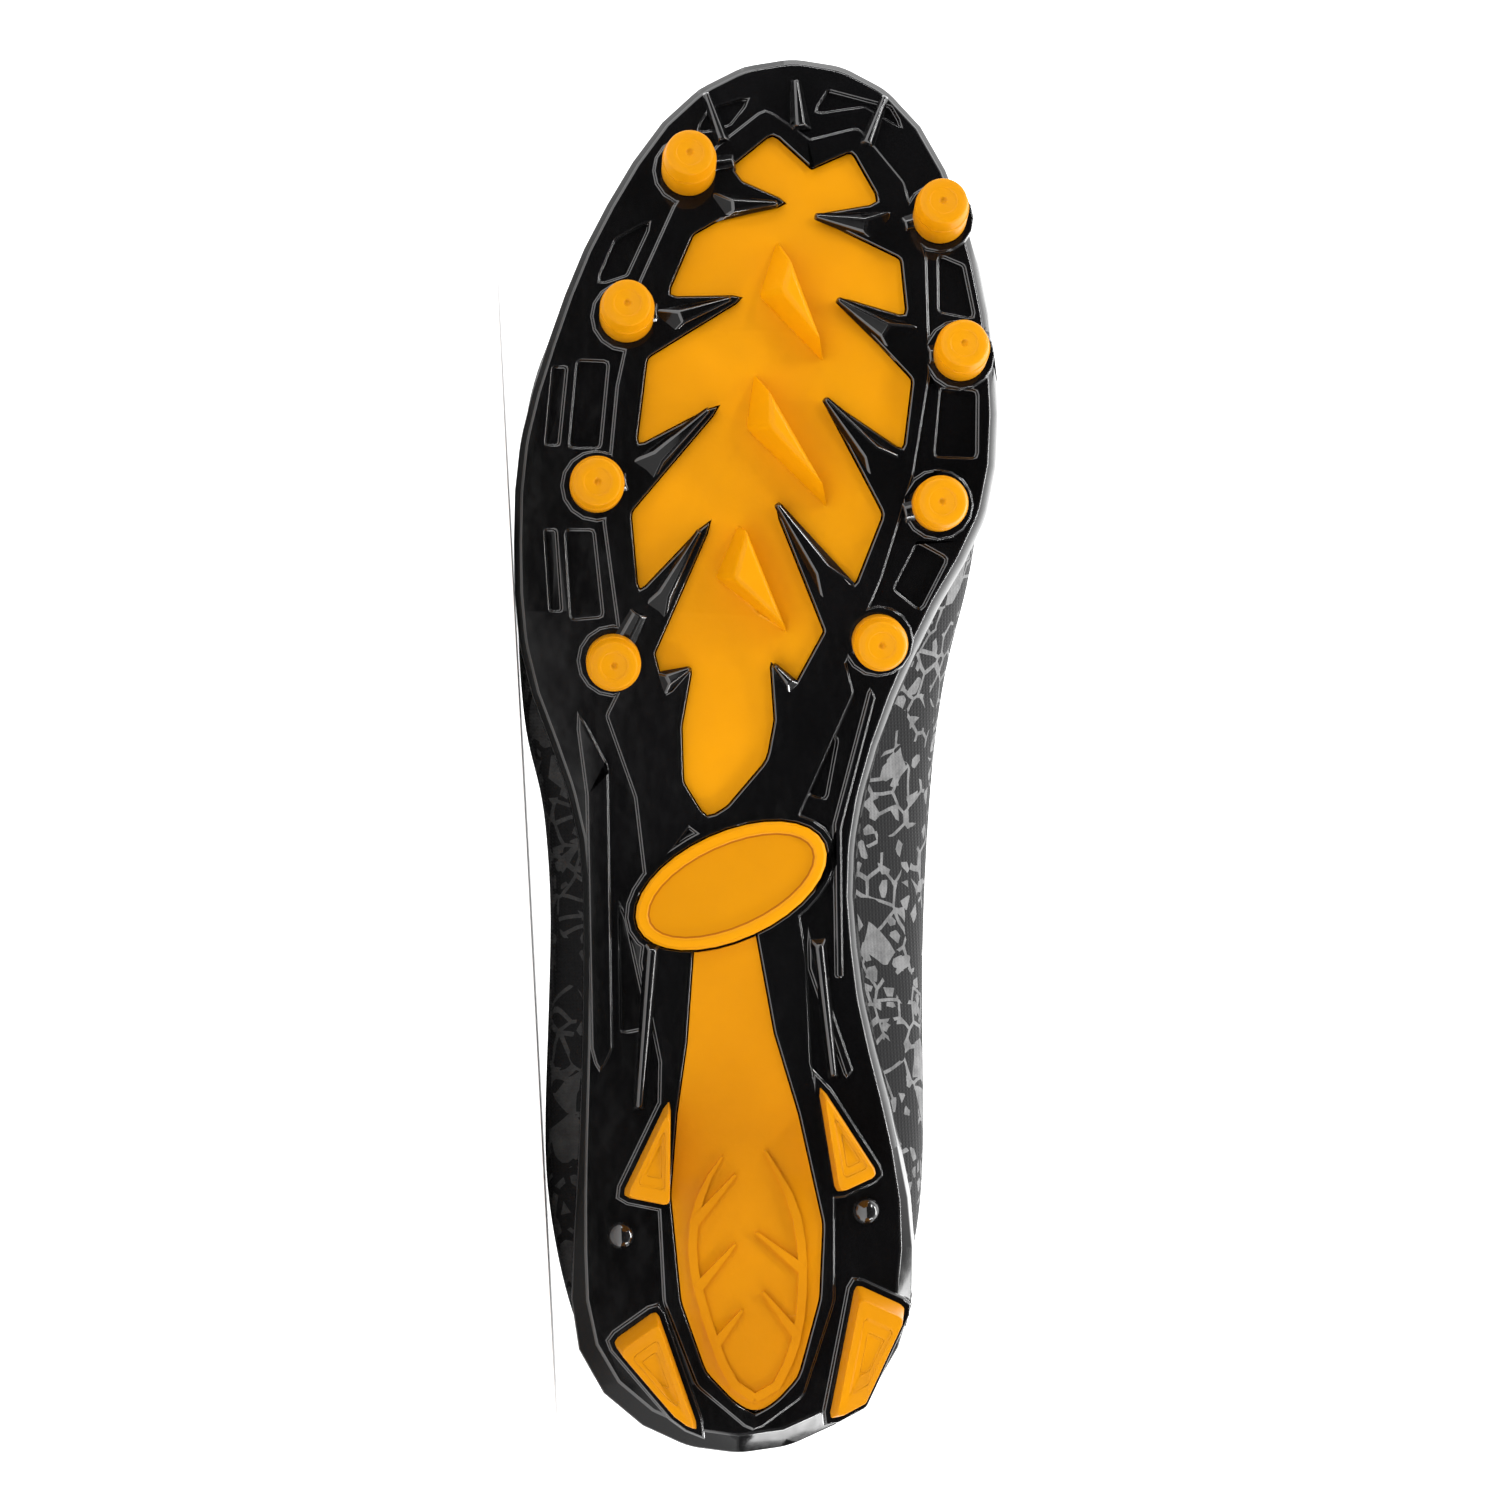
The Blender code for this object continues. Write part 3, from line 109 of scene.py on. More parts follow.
def choose(*items):
    """Only these selected, the last one active."""
    blank()
    for item in items:
        item.select_set(True)
    bpy.context.view_layer.objects.active = items[-1]


def places_of(mesh):
    """Every vertex in the shoe's own frame."""
    return np.array([tuple(HOME @ vertex.co) for vertex in mesh.vertices])


def plate_at(x):
    """Height of the plate at a length, both in metres."""
    stations = [STATION_STEP * k for k in range(len(PLATE_HEIGHTS))]
    return float(np.interp(x, stations, PLATE_HEIGHTS)) / 1000.0


def on_sole(x_percent, y_millimetres, level):
    """Point in the shoe's frame, a level in metres from the plate towards the ground."""
    x = x_percent / 100.0 * SHOE_LENGTH
    return Vector((x, y_millimetres / 1000.0, plate_at(x) - level))


# Materials. The noise scales are per metre, and the bump distances in metres

def new_material(name):
    made = bpy.data.materials.new(name)
    made.use_nodes = True
    tree = made.node_tree
    return made, tree, tree.nodes["Principled BSDF"]


SOCKETS = {
    "roughness": "Roughness", "specular": "Specular IOR Level", "coat": "Coat Weight",
    "coat_roughness": "Coat Roughness", "sheen": "Sheen Weight",
    "sheen_roughness": "Sheen Roughness"}


def finish(shader, **values):
    """Values that are the same all over, each on the shader's own socket."""
    for name, value in values.items():
        shader.inputs[SOCKETS[name]].default_value = value


def coordinates(tree, scale=(1.0, 1.0, 1.0)):
    source = tree.nodes.new("ShaderNodeTexCoord")
    mapping = tree.nodes.new("ShaderNodeMapping")
    mapping.inputs["Scale"].default_value = scale
    tree.links.new(source.outputs["Object"], mapping.inputs["Vector"])
    return mapping.outputs["Vector"]


def noise(tree, vector, scale, detail=3.0, roughness=0.5):
    node = tree.nodes.new("ShaderNodeTexNoise")
    node.inputs["Scale"].default_value = scale
    node.inputs["Detail"].default_value = detail
    node.inputs["Roughness"].default_value = roughness
    tree.links.new(vector, node.inputs["Vector"])
    return node.outputs["Fac"]


def ramp(tree, value, stops):
    node = tree.nodes.new("ShaderNodeValToRGB")
    elements = node.color_ramp.elements
    while len(elements) < len(stops):
        elements.new(0.5)
    for element, (place, colour) in zip(elements, stops):
        element.position = place
        element.color = (*colour, 1.0)
    tree.links.new(value, node.inputs["Fac"])
    return node.outputs["Color"]


def greys(tree, value, stops):
    return ramp(tree, value, [(place, (grey, grey, grey)) for place, grey in stops])


def bump(tree, shader, height, strength, distance):
    node = tree.nodes.new("ShaderNodeBump")
    node.inputs["Strength"].default_value = strength
    node.inputs["Distance"].default_value = distance
    tree.links.new(height, node.inputs["Height"])
    tree.links.new(node.outputs["Normal"], shader.inputs["Normal"])


def maths(tree, operation, first, second=0.0):
    node = tree.nodes.new("ShaderNodeMath")
    node.operation = operation
    for value, socket in ((first, node.inputs[0]), (second, node.inputs[1])):
        if isinstance(value, (float, int)):
            socket.default_value = value
        else:
            tree.links.new(value, socket)
    return node.outputs[0]


def moulded(name, colour, dark, roughness, coat, grain):
    """Moulded plastic: a fine skin, a little cloudiness and faint rubbed places."""
    made, tree, shader = new_material(name)
    place = coordinates(tree)
    cloud = noise(tree, place, 38.0, detail=4.0)
    tint = ramp(tree, cloud, ((0.25, dark), (0.62, colour)))
    tree.links.new(tint, shader.inputs["Base Color"])
    rub = noise(tree, place, 160.0, detail=5.0, roughness=0.6)
    rough = greys(tree, rub, ((0.30, roughness), (0.75, roughness + 0.14)))
    tree.links.new(rough, shader.inputs["Roughness"])
    finish(shader, specular=0.08, coat=coat, coat_roughness=0.08)
    bump(tree, shader, noise(tree, place, 900.0), strength=grain, distance=0.0003)
    return made


def gloss_black_plate():
    """Gloss black plastic with a slow wave in its skin and a few scuffs."""
    made, tree, shader = new_material("gloss_black_plate")
    place = coordinates(tree)
    cloud = noise(tree, place, 24.0, detail=4.0)
    deep, pale = (0.0018, 0.0018, 0.0020), (0.0040, 0.0040, 0.0044)
    tree.links.new(ramp(tree, cloud, ((0.3, deep), (0.7, pale))), shader.inputs["Base Color"])
    drawn_out = coordinates(tree, (1.0, 1.0, 3.0))
    scuff = noise(tree, drawn_out, 210.0, detail=6.0, roughness=0.65)
    rough = greys(tree, scuff, ((0.45, 0.10), (0.80, 0.22)))
    tree.links.new(rough, shader.inputs["Roughness"])
    finish(shader, specular=0.10, coat=0.22, coat_roughness=0.05)
    bump(tree, shader, noise(tree, place, 120.0, detail=2.0), strength=0.10, distance=0.0009)
    return made


def textile(name, colour, scale, strength, roughness):
    """Close knit: two crossed waves of thread for the bump, fuzz for the colour."""
    made, tree, shader = new_material(name)
    place = coordinates(tree)
    fuzz = noise(tree, place, 420.0)
    light = tuple(min(1.0, part * 1.8 + 0.004) for part in colour)
    tree.links.new(ramp(tree, fuzz, ((0.3, colour), (0.75, light))), shader.inputs["Base Color"])
    finish(shader, roughness=roughness, specular=0.12, sheen=0.03, sheen_roughness=0.5)
    bump(tree, shader, weave(tree, place, scale), strength, distance=0.0004)
    return made


def weave(tree, place, scale):
    """Two sets of threads that cross."""
    heights = []
    for axis in ("X", "Z"):
        wave = tree.nodes.new("ShaderNodeTexWave")
        wave.bands_direction = axis
        wave.inputs["Scale"].default_value = scale
        wave.inputs["Distortion"].default_value = 1.2
        tree.links.new(place, wave.inputs["Vector"])
        heights.append(wave.outputs["Fac"])
    return maths(tree, "MULTIPLY", heights[0], heights[1])


def cells(tree, vector, scale, feature="F1"):
    node = tree.nodes.new("ShaderNodeTexVoronoi")
    node.feature = feature
    node.inputs["Scale"].default_value = scale
    tree.links.new(vector, node.inputs["Vector"])
    return node.outputs


def printed_textile():
    """Black shell fabric with loose grey shards, chips and rules printed on it."""
    made, tree, shader = new_material("printed_textile")
    place = coordinates(tree)
    warp = tree.nodes.new("ShaderNodeVectorMath")
    warp.operation = "MULTIPLY_ADD"
    wobble = tree.nodes.new("ShaderNodeTexNoise")
    wobble.inputs["Scale"].default_value = 60.0
    tree.links.new(place, wobble.inputs["Vector"])
    tree.links.new(wobble.outputs["Color"], warp.inputs[0])
    warp.inputs[1].default_value = (0.004, 0.004, 0.004)
    tree.links.new(place, warp.inputs[2])
    crooked = warp.outputs[0]

    def shards(scale, share, border):
        split = tree.nodes.new("ShaderNodeSeparateColor")
        tree.links.new(cells(tree, crooked, scale)["Color"], split.inputs["Color"])
        picked = maths(tree, "GREATER_THAN", split.outputs[0], 1.0 - share)
        to_edge = cells(tree, crooked, scale, "DISTANCE_TO_EDGE")["Distance"]
        return maths(tree, "MULTIPLY", picked, maths(tree, "GREATER_THAN", to_edge, border))

    def strokes(scale, share, thickness):
        to_edge = cells(tree, crooked, scale, "DISTANCE_TO_EDGE")["Distance"]
        thin = maths(tree, "LESS_THAN", to_edge, thickness)
        patch = maths(tree, "GREATER_THAN", noise(tree, place, 75.0, detail=1.0), 1.0 - share)
        return maths(tree, "MULTIPLY", thin, patch)

    large = shards(scale=105.0, share=0.24, border=0.10)
    small = shards(scale=260.0, share=0.34, border=0.16)
    marks = strokes(scale=150.0, share=0.52, thickness=0.055)
    print_share = maths(tree, "MAXIMUM", maths(tree, "MAXIMUM", large, small), marks)
    wear = greys(tree, noise(tree, place, 300.0), ((0.3, 0.55), (0.6, 1.0)))
    faded = maths(tree, "MULTIPLY", print_share, wear)
    # Painted light: the print's grey is painted paler on the medial side, which is the upper one
    # here and takes more light, and darker on the lateral side
    height = tree.nodes.new("ShaderNodeSeparateXYZ")
    tree.links.new(place, height.inputs["Vector"])
    painted_light_height = maths(tree, "MULTIPLY", height.outputs["Z"], 10.0)
    side = greys(tree, painted_light_height, ((0.30, 0.05), (0.75, 0.19)))
    mix = tree.nodes.new("ShaderNodeMix")
    mix.data_type = "RGBA"
    tree.links.new(faded, mix.inputs[0])
    mix.inputs[6].default_value = (0.006, 0.006, 0.0065, 1.0)
    tree.links.new(side, mix.inputs[7])
    tree.links.new(mix.outputs[2], shader.inputs["Base Color"])
    finish(shader, roughness=0.62, specular=0.15, sheen=0.02)
    bump(tree, shader, weave(tree, place, 420.0), strength=0.35, distance=0.0004)
    return made


def polished_edge():
    """The thin rounded edges of the plate, where a mould leaves the brightest gloss."""
    made, tree, shader = new_material("polished_edge")
    rub = noise(tree, coordinates(tree), 60.0)
    rough = greys(tree, rub, ((0.40, 0.07), (0.66, 0.22)))
    tree.links.new(rough, shader.inputs["Roughness"])
    shader.inputs["Base Color"].default_value = (0.006, 0.006, 0.0065, 1.0)
    finish(shader, specular=0.6, coat=0.8, coat_roughness=0.08)
    return made


BLACK = gloss_black_plate()
EDGE = polished_edge()
GOLD = moulded("golden_orange", (0.70, 0.284, 0.001), (0.66, 0.262, 0.001),
               roughness=0.32, coat=0.05, grain=0.12)
STRIP = moulded("strip_orange", (0.61, 0.236, 0.0015), (0.54, 0.203, 0.0015),
                roughness=0.34, coat=0.05, grain=0.14)
BADGE = moulded("badge_orange", (0.60, 0.238, 0.001), (0.56, 0.218, 0.001),
                roughness=0.30, coat=0.04, grain=0.10)
# Painted shade: a darker copy of the badge orange for the thin step inside the badge's rim
BADGE_STEP_SHADE = moulded("badge_step_painted_shade", (0.40, 0.125, 0.001), (0.34, 0.10, 0.001),
                       roughness=0.4, coat=0.02, grain=0.1)
STUD = moulded("stud_orange", (0.62, 0.250, 0.001), (0.58, 0.228, 0.001),
               roughness=0.38, coat=0.06, grain=0.16)
OVERLAY = moulded("overlay_black", (0.014, 0.014, 0.015), (0.009, 0.009, 0.010),
                  roughness=0.42, coat=0.1, grain=0.35)
PRINT = printed_textile()
LINING = textile("lining_knit", (0.012, 0.012, 0.013), scale=300.0, strength=0.5, roughness=0.9)
TONGUE = textile("tongue_mesh", (0.013, 0.013, 0.014), scale=210.0, strength=0.6, roughness=0.85)
LACE = textile("lace_weave", (0.012, 0.012, 0.013), scale=520.0, strength=0.6, roughness=0.85)
THREAD = textile("black_thread", (0.020, 0.020, 0.021), scale=600.0, strength=0.5, roughness=0.8)


# Pieces

def dressed(piece, looks, record_slot, *replaced):
    """A piece with its looks, riding on the shoe in place of any solids named. The record slot is
    not used.
    """
    kept = [face.material_index for face in piece.data.polygons]
    looks = looks if isinstance(looks, tuple) else (looks,)
    piece.data.materials.clear()
    for look in looks:
        piece.data.materials.append(look)
    for face, index in zip(piece.data.polygons, kept):
        face.material_index = index if len(looks) > 1 else 0
    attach(piece, "root")
    if replaced:
        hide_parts(*replaced)


def twin(pattern):
    """A copy with a mesh of its own."""
    made = pattern.copy()
    made.data = pattern.data.copy()
    bpy.context.scene.collection.objects.link(made)
    return made


def copied(node, name):
    """A copy of a solid with its triangles merged."""
    piece = twin(cad[node])
    piece.name = name
    piece.data.name = name
    piece.parent = None
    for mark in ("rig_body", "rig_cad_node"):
        if mark in piece:
            del piece[mark]
    choose(piece)
    edit("SELECT")
    bpy.ops.mesh.remove_doubles(threshold=0.00001)
    leave_edit()
    return piece


def flattened(piece):
    """Flat faces in one piece again."""
    choose(piece)
    edit("SELECT")
    bpy.ops.mesh.dissolve_limited(angle_limit=radians(0.06))
    leave_edit()
    return piece


def apply_all(piece):
    """Every modifier applied, in order."""
    choose(piece)
    for item in list(piece.modifiers):
        bpy.ops.object.modifier_apply(modifier=item.name)


def evenly_smooth(piece, angle):
    """Smooth shading up to an angle, with the wide faces kept flat to the eye."""
    choose(piece)
    bpy.ops.object.shade_smooth_by_angle(angle=radians(angle))
    even = piece.modifiers.new("even", "WEIGHTED_NORMAL")
    even.keep_sharp = True
    apply_all(piece)


def softened(piece, width, segments, angle, smooth, polished=False):
    """Edges rounded by a small bevel, as a mould leaves them."""
    rounding = piece.modifiers.new("rounding", "BEVEL")
    if polished:
        piece.data.materials.clear()
        piece.data.materials.append(BLACK)
        piece.data.materials.append(EDGE)
        rounding.material = 1
    rounding.width = width
    rounding.segments = segments
    rounding.limit_method = "ANGLE"
    rounding.angle_limit = radians(angle)
    rounding.use_clamp_overlap = False
    apply_all(piece)
    evenly_smooth(piece, smooth)


def into_place(piece):
    """From the shoe's frame to the floor's."""
    piece.data.transform(SHOE @ piece.matrix_world)
    piece.matrix_world = Matrix.Identity(4)


# Shape of a ridge: width of its top to its foot, how deep the foot sinks into the plate, and how
# far the tip leans back for its height
RIDGE_TOP = 0.34
RIDGE_SUNK = 0.0006
TIP_LEAN = 0.6


def wedge(name, start, end, widths, height, level, rise):
    """Moulded roof-like ridge from start to end on the sole, rising over a share of its length."""
    first, last = on_sole(*start, level), on_sole(*end, level)
    length = (last - first).length
    blank()
    bpy.ops.mesh.primitive_cube_add(size=1.0, location=(0.5, 0.0, 0.5))
    piece = bpy.context.active_object
    piece.name = name
    bpy.ops.object.transform_apply(location=True)
    edit()
    bpy.ops.transform.resize(value=(length, 1.0, 1.0), center_override=(0, 0, 0))
    leave_edit()
    for vert in piece.data.vertices:
        far = vert.co.x > 0.5 * length
        top = vert.co.z > 0.5
        vert.co.y *= widths[far] * (RIDGE_TOP if top else 1.0)
        vert.co.z = height if top else -RIDGE_SUNK
        if top:
            vert.co.x += -TIP_LEAN * height if far else rise * length
    along = (last - first).normalized()
    down = Vector((0.0, 0.0, -1.0))
    across = down.cross(along).normalized()
    down = along.cross(across)
    turn = Matrix((along, across, down)).transposed().to_4x4()
    piece.data.transform(Matrix.Translation(first) @ turn)
    into_place(piece)
    softened(piece, 0.0004, segments=3, angle=14.0, smooth=50.0, polished=True)
    return piece


def joined(name, items):
    """Several meshes as one piece."""
    choose(*items)
    if len(items) > 1:
        bpy.ops.object.join()
    made = bpy.context.active_object
    made.name = name
    made.data.name = name
    return made


# Fins between the lobes: root and tip in the plan, widths there
FINS = (
    ((87.3, 30.5), (88.3, 14.6), (0.0085, 0.0016)), ((79.0, 34.4), (82.3, 19.2), (0.0095, 0.0016)),
    ((69.6, 30.8), (75.2, 16.4), (0.0100, 0.0016)), ((60.9, 20.3), (67.7, 6.2), (0.0090, 0.0016)),
    ((88.9, -7.0), (89.2, 7.2), (0.0070, 0.0016)), ((80.3, -18.8), (82.3, -3.0), (0.0075, 0.0016)),
    ((69.4, -23.8), (74.4, -7.8), (0.0080, 0.0016)),
    ((59.2, -21.0), (65.8, -9.9), (0.0072, 0.0016)),
    ((54.4, 10.6), (56.3, 5.6), (0.0040, 0.0012)), ((54.8, -19.0), (56.0, -11.8), (0.0062, 0.0012)),
)
FIN_HEIGHT = 0.0010
FIN_RISE = 0.30

# Struts and rails moulded on the plate: start, end, widths there and height
STRUTS = (
    ((91.6, -12.2), (92.2, -2.0), (0.0060, 0.0040), 0.0010),
    ((81.0, -25.6), (81.2, -18.6), (0.0070, 0.0050), 0.0010),
    ((68.9, -32.0), (69.2, -25.2), (0.0070, 0.0050), 0.0010),
    ((56.5, -28.5), (60.0, -23.0), (0.0070, 0.0050), 0.0010),
    ((88.2, 41.6), (87.6, 33.6), (0.0060, 0.0040), 0.0010),
    ((78.3, 45.6), (78.2, 38.4), (0.0070, 0.0050), 0.0010),
    ((67.6, 40.8), (67.0, 33.0), (0.0070, 0.0050), 0.0010),
    ((57.9, 28.1), (57.6, 22.0), (0.0060, 0.0045), 0.0010),
    ((94.6, 12.0), (98.4, 11.0), (0.0050, 0.0022), 0.0016),
    ((93.4, 26.0), (97.2, 30.4), (0.0036, 0.0018), 0.0012),
    ((93.6, -4.6), (97.4, -8.4), (0.0036, 0.0018), 0.0012),
    ((36.6, -20.0), (24.6, -23.0), (0.0040, 0.0026), 0.0010),
    ((36.8, 15.4), (26.8, 18.6), (0.0038, 0.0024), 0.0010),
)
STRUT_RISE = 0.06


def plate_relief():
    """The fins and struts, in one piece on the raised band."""
    ridges = [wedge("fin", root, tip, widths, FIN_HEIGHT, RAISED, FIN_RISE)
              for root, tip, widths in FINS]
    ridges += [wedge("strut", start, end, widths, height, RAISED, STRUT_RISE)
               for start, end, widths, height in STRUTS]
    dressed(joined("plate_ridges", ridges), (BLACK, EDGE), "gloss_black")


# Centre blades, corner by corner from the toe end: x and y at the foot, x and y at the tip
CENTRE_BLADES = (
    ((86.8, 6.6, 85.0, 9.2), (77.5, 16.8, 79.3, 15.4), (82.5, 2.3, 82.7, 7.4)),
    ((77.2, 1.4, 75.6, 4.4), (67.1, 17.6, 68.9, 16.0), (73.0, -0.6, 73.0, 4.8)),
    ((66.3, -1.9, 65.7, -0.4), (58.3, 9.1, 59.0, 7.6), (62.4, -7.2, 62.3, -3.0)))
BLADE_HEIGHT = 0.0093
BLADE_SUNK = 0.0004


def leaning_blades():
    """Three soft-edged blades over the ones moulded on the insert."""
    for number, corners in enumerate(CENTRE_BLADES, start=1):
        blank()
        bpy.ops.mesh.primitive_circle_add(vertices=3, radius=1.0, fill_type="NGON")
        blade = bpy.context.active_object
        blade.name = f"leaning_blade_{number}"
        edit("SELECT")
        bpy.ops.mesh.extrude_region_move(TRANSFORM_OT_translate={"value": (0, 0, 1)})
        leave_edit()
        grounds = [v for v in blade.data.vertices if v.co.z < 0.5]
        tips = [v for v in blade.data.vertices if v.co.z > 0.5]
        for foot, (foot_x, foot_y, tip_x, tip_y) in zip(grounds, corners):
            tip = next(v for v in tips if (v.co.xy - foot.co.xy).length < 0.01)
            foot.co = on_sole(foot_x, foot_y, INSERT_FACE - BLADE_SUNK)
            tip.co = on_sole(tip_x, tip_y, INSERT_FACE + BLADE_HEIGHT)
        into_place(blade)
        choose(blade)
        edit("SELECT")
        bpy.ops.mesh.normals_make_consistent(inside=False)
        leave_edit()
        softened(blade, 0.0011, segments=4, angle=20.0, smooth=60.0)
        dressed(blade, GOLD, "golden_orange")


# Which upright corners of an outline are rounded. A corner turns more than the gentlest angle, has
# room for its bevel in the edges beside it, and lies near the piece's own side, heel or toe
GENTLEST_TURN = 4.0
UPRIGHT_SHARE = 0.5
LEVEL_NORMAL = 0.6
BEVEL_ROOM = 2.1
NEIGHBOUR_REACH = 0.007
HEEL_END = 0.016
TOE_END = 0.285


def rounded_outline(piece, offset, steepest, margin):
    """A piece's outline as a smooth line: its upright corners get a wide soft bevel."""
    mesh = piece.data
    around = {}
    for face in mesh.polygons:
        for key in face.edge_keys:
            around.setdefault(key, []).append(face.normal)
    spots = places_of(mesh)
    level_edges = [[] for _ in mesh.vertices]
    for edge in mesh.edges:
        span = spots[edge.vertices[1]] - spots[edge.vertices[0]]
        length = float(np.linalg.norm(span))
        if abs(span[2]) < UPRIGHT_SHARE * length:
            for corner in edge.vertices:
                level_edges[corner].append(length)

    def to_round(edge):
        normals = around.get(edge.key, [])
        first, last = spots[edge.vertices[0]], spots[edge.vertices[1]]
        span = last - first
        if len(normals) != 2 or abs(span[2]) < UPRIGHT_SHARE * np.linalg.norm(span):
            return False
        turn = normals[0].angle(normals[1])
        if not radians(GENTLEST_TURN) < turn < radians(steepest):
            return False
        if max(abs(normal.y) for normal in normals) > LEVEL_NORMAL:
            return False
        beside = [length for corner in edge.vertices for length in level_edges[corner] or [1.0]]
        if min(beside) < BEVEL_ROOM * offset:
            return False
        x, y = 0.5 * (first + last)[:2]
        same_side = (np.abs(spots[:, 0] - x) < NEIGHBOUR_REACH) & (spots[:, 1] * y > 0.0)
        reach = np.abs(spots[same_side, 1]).max()
        return bool(x > TOE_END or x < HEEL_END or abs(y) > reach - margin)

    choose(piece)
    edit("DESELECT", by="EDGE")
    leave_edit()
    for edge in mesh.edges:
        if to_round(edge):
            edge.select = True
    edit()
    bpy.ops.mesh.bevel(offset=offset, segments=3, affect="EDGES", clamp_overlap=False)
    leave_edit()


def gloss_plate():
    """The whole outsole, its outline and edges rounded."""
    plate = flattened(copied("outsole", "plate"))
    rounded_outline(plate, 0.0022, steepest=42.0, margin=0.0035)
    softened(plate, 0.00036, segments=3, angle=24.0, smooth=40.0, polished=True)
    dressed(plate, (BLACK, EDGE), "gloss_black", "outsole")


# A point that stands further than this out of the insert's face belongs to a moulded blade, and
# goes back to just inside the face
BLADE_LEAST = 0.0004
BLADE_SETBACK = 0.00002


def orange_pieces():
    """The insert without its own blades, the heel strip and the heel blades."""
    insert = flattened(copied("forefoot_insert", "insert_with_blades"))
    rounded_outline(insert, 0.0020, steepest=50.0, margin=1.0)
    for vertex in insert.data.vertices:
        place = HOME @ vertex.co
        level = plate_at(place.x) - INSERT_FACE
        if place.z < level - BLADE_LEAST:
            place.z = level + BLADE_SETBACK
            vertex.co = SHOE @ place
    evenly_smooth(insert, 12.0)
    dressed(insert, GOLD, "golden_orange", "forefoot_insert")
    strip = flattened(copied("shank_strip", "heel_strip"))
    rounded_outline(strip, 0.0022, steepest=60.0, margin=0.0030)
    evenly_smooth(strip, 16.0)
    dressed(strip, STRIP, "strip_orange", "shank_strip")
    for side in SIDES:
        for number in (1, 2):
            node = f"heel_blade_{side}_{number}"
            blade = flattened(copied(node, f"blade_{side}_{number}"))
            heel_blade_face(blade)
            softened(blade, 0.0003, segments=2, angle=35.0, smooth=40.0)
            dressed(blade, STRIP, "strip_orange", node)


# A face whose normal has more than this share along y looks out of the sole
SOLE_SHARE = 0.97

# Width of the badge's thin step, and how far the field lies below it
BADGE_STEP = 0.0004
BADGE_DROP = 0.0001


def bare_oval():
    """The badge: a rim, a thin step inside it painted darker as shade, and a bare lower field."""
    badge = flattened(copied("oval_badge", "bare_oval"))
    looks = (GOLD, BADGE_STEP_SHADE, BADGE)
    badge.data.materials.clear()
    for look in looks:
        badge.data.materials.append(look)
    edit("DESELECT", by="FACE")
    leave_edit()
    upward = [face for face in badge.data.polygons if face.normal.y > SOLE_SHARE]
    away = sum((face.normal * face.area for face in upward), Vector()).normalized()
    levels = [face.center.dot(away) for face in upward]
    half_way = 0.5 * (max(levels) + min(levels))
    for face in badge.data.polygons:
        face.material_index = 0
        face.select = face in upward and face.center.dot(away) < half_way
    edit()
    # The step ring keeps the painted shade, and the inset field then takes the plain badge orange
    for look in (BADGE_STEP_SHADE, BADGE):
        if look is BADGE:
            bpy.ops.mesh.inset(thickness=BADGE_STEP, depth=-BADGE_DROP, use_even_offset=True)
        badge.active_material_index = looks.index(look)
        bpy.ops.object.material_slot_assign()
    leave_edit()
    evenly_smooth(badge, 34.0)
    dressed(badge, looks, "golden_orange", "oval_badge")


# Steps on the tip of a heel blade, within this depth of its highest point: share and rise of each
TIP_DEPTH = 0.002
BLADE_STEPS = ((0.66, 0.0), (0.93, -0.00035), (0.62, 0.0), (0.9, -0.0003))


def heel_blade_face(blade):
    """Stepped line on the tip face of a heel blade."""
    choose(blade)
    edit("DESELECT")
    leave_edit()
    highest = max(v.co.y for v in blade.data.vertices)
    for face in blade.data.polygons:
        face.select = face.normal.y > SOLE_SHARE and face.center.y > highest - TIP_DEPTH
    chosen = [face for face in blade.data.polygons if face.select]
    weighted = sum((face.center * face.area for face in chosen), Vector())
    middle = weighted / sum(face.area for face in chosen)
    edit(by="FACE")
    for share, rise in BLADE_STEPS:
        bpy.ops.mesh.extrude_region_move(TRANSFORM_OT_translate={"value": (0, rise, 0)})
        bpy.ops.transform.resize(value=(share, 1.0, share), center_override=middle)
    leave_edit()


def axis_of(node):
    """Middle of a round solid, its three main directions and the spread along each."""
    points = np.array([tuple(vertex.co) for vertex in cad[node].data.vertices])
    middle = points.mean(axis=0)
    spreads, directions = np.linalg.eigh(np.cov((points - middle).T))
    return Vector(middle), [Vector(directions[:, k]) for k in range(3)], spreads


# A stud's lower part, then the steps above it: share of the width and rise of each
STUD_RADIUS = 0.0058
STUD_FOOT = 0.0078
STUD_STEPS = ((0.965, 0.0), (0.93, 0.0033), (0.955, 0.0006), (0.90, 0.0003), (0.66, 0.0),
              (0.93, -0.00016), (0.32, 0.0), (0.55, -0.0005))


def round_stud():
    """One stud, from its foot at z = 0 out to its tip: two steps, a rounded lip and a dimple."""
    blank()
    bpy.ops.mesh.primitive_cylinder_add(vertices=48, radius=STUD_RADIUS, depth=STUD_FOOT,
                                        location=(0, 0, STUD_FOOT / 2), end_fill_type="NGON")
    stud = bpy.context.active_object
    bpy.ops.object.transform_apply(location=True)
    edit("DESELECT")
    leave_edit()
    for face in stud.data.polygons:
        face.select = face.normal.z > 0.9
    edit(by="FACE")
    for share, rise in STUD_STEPS:
        bpy.ops.mesh.extrude_region_move(TRANSFORM_OT_translate={"value": (0, 0, rise)})
        bpy.ops.transform.resize(value=(share, share, 1.0), center_override=(0, 0, 0))
    leave_edit()
    rounding = stud.modifiers.new("rounding", "BEVEL")
    rounding.width = 0.00022
    rounding.segments = 2
    rounding.limit_method = "ANGLE"
    rounding.angle_limit = radians(35.0)
    apply_all(stud)
    bpy.ops.object.shade_smooth_by_angle(angle=radians(38.0))
    return stud


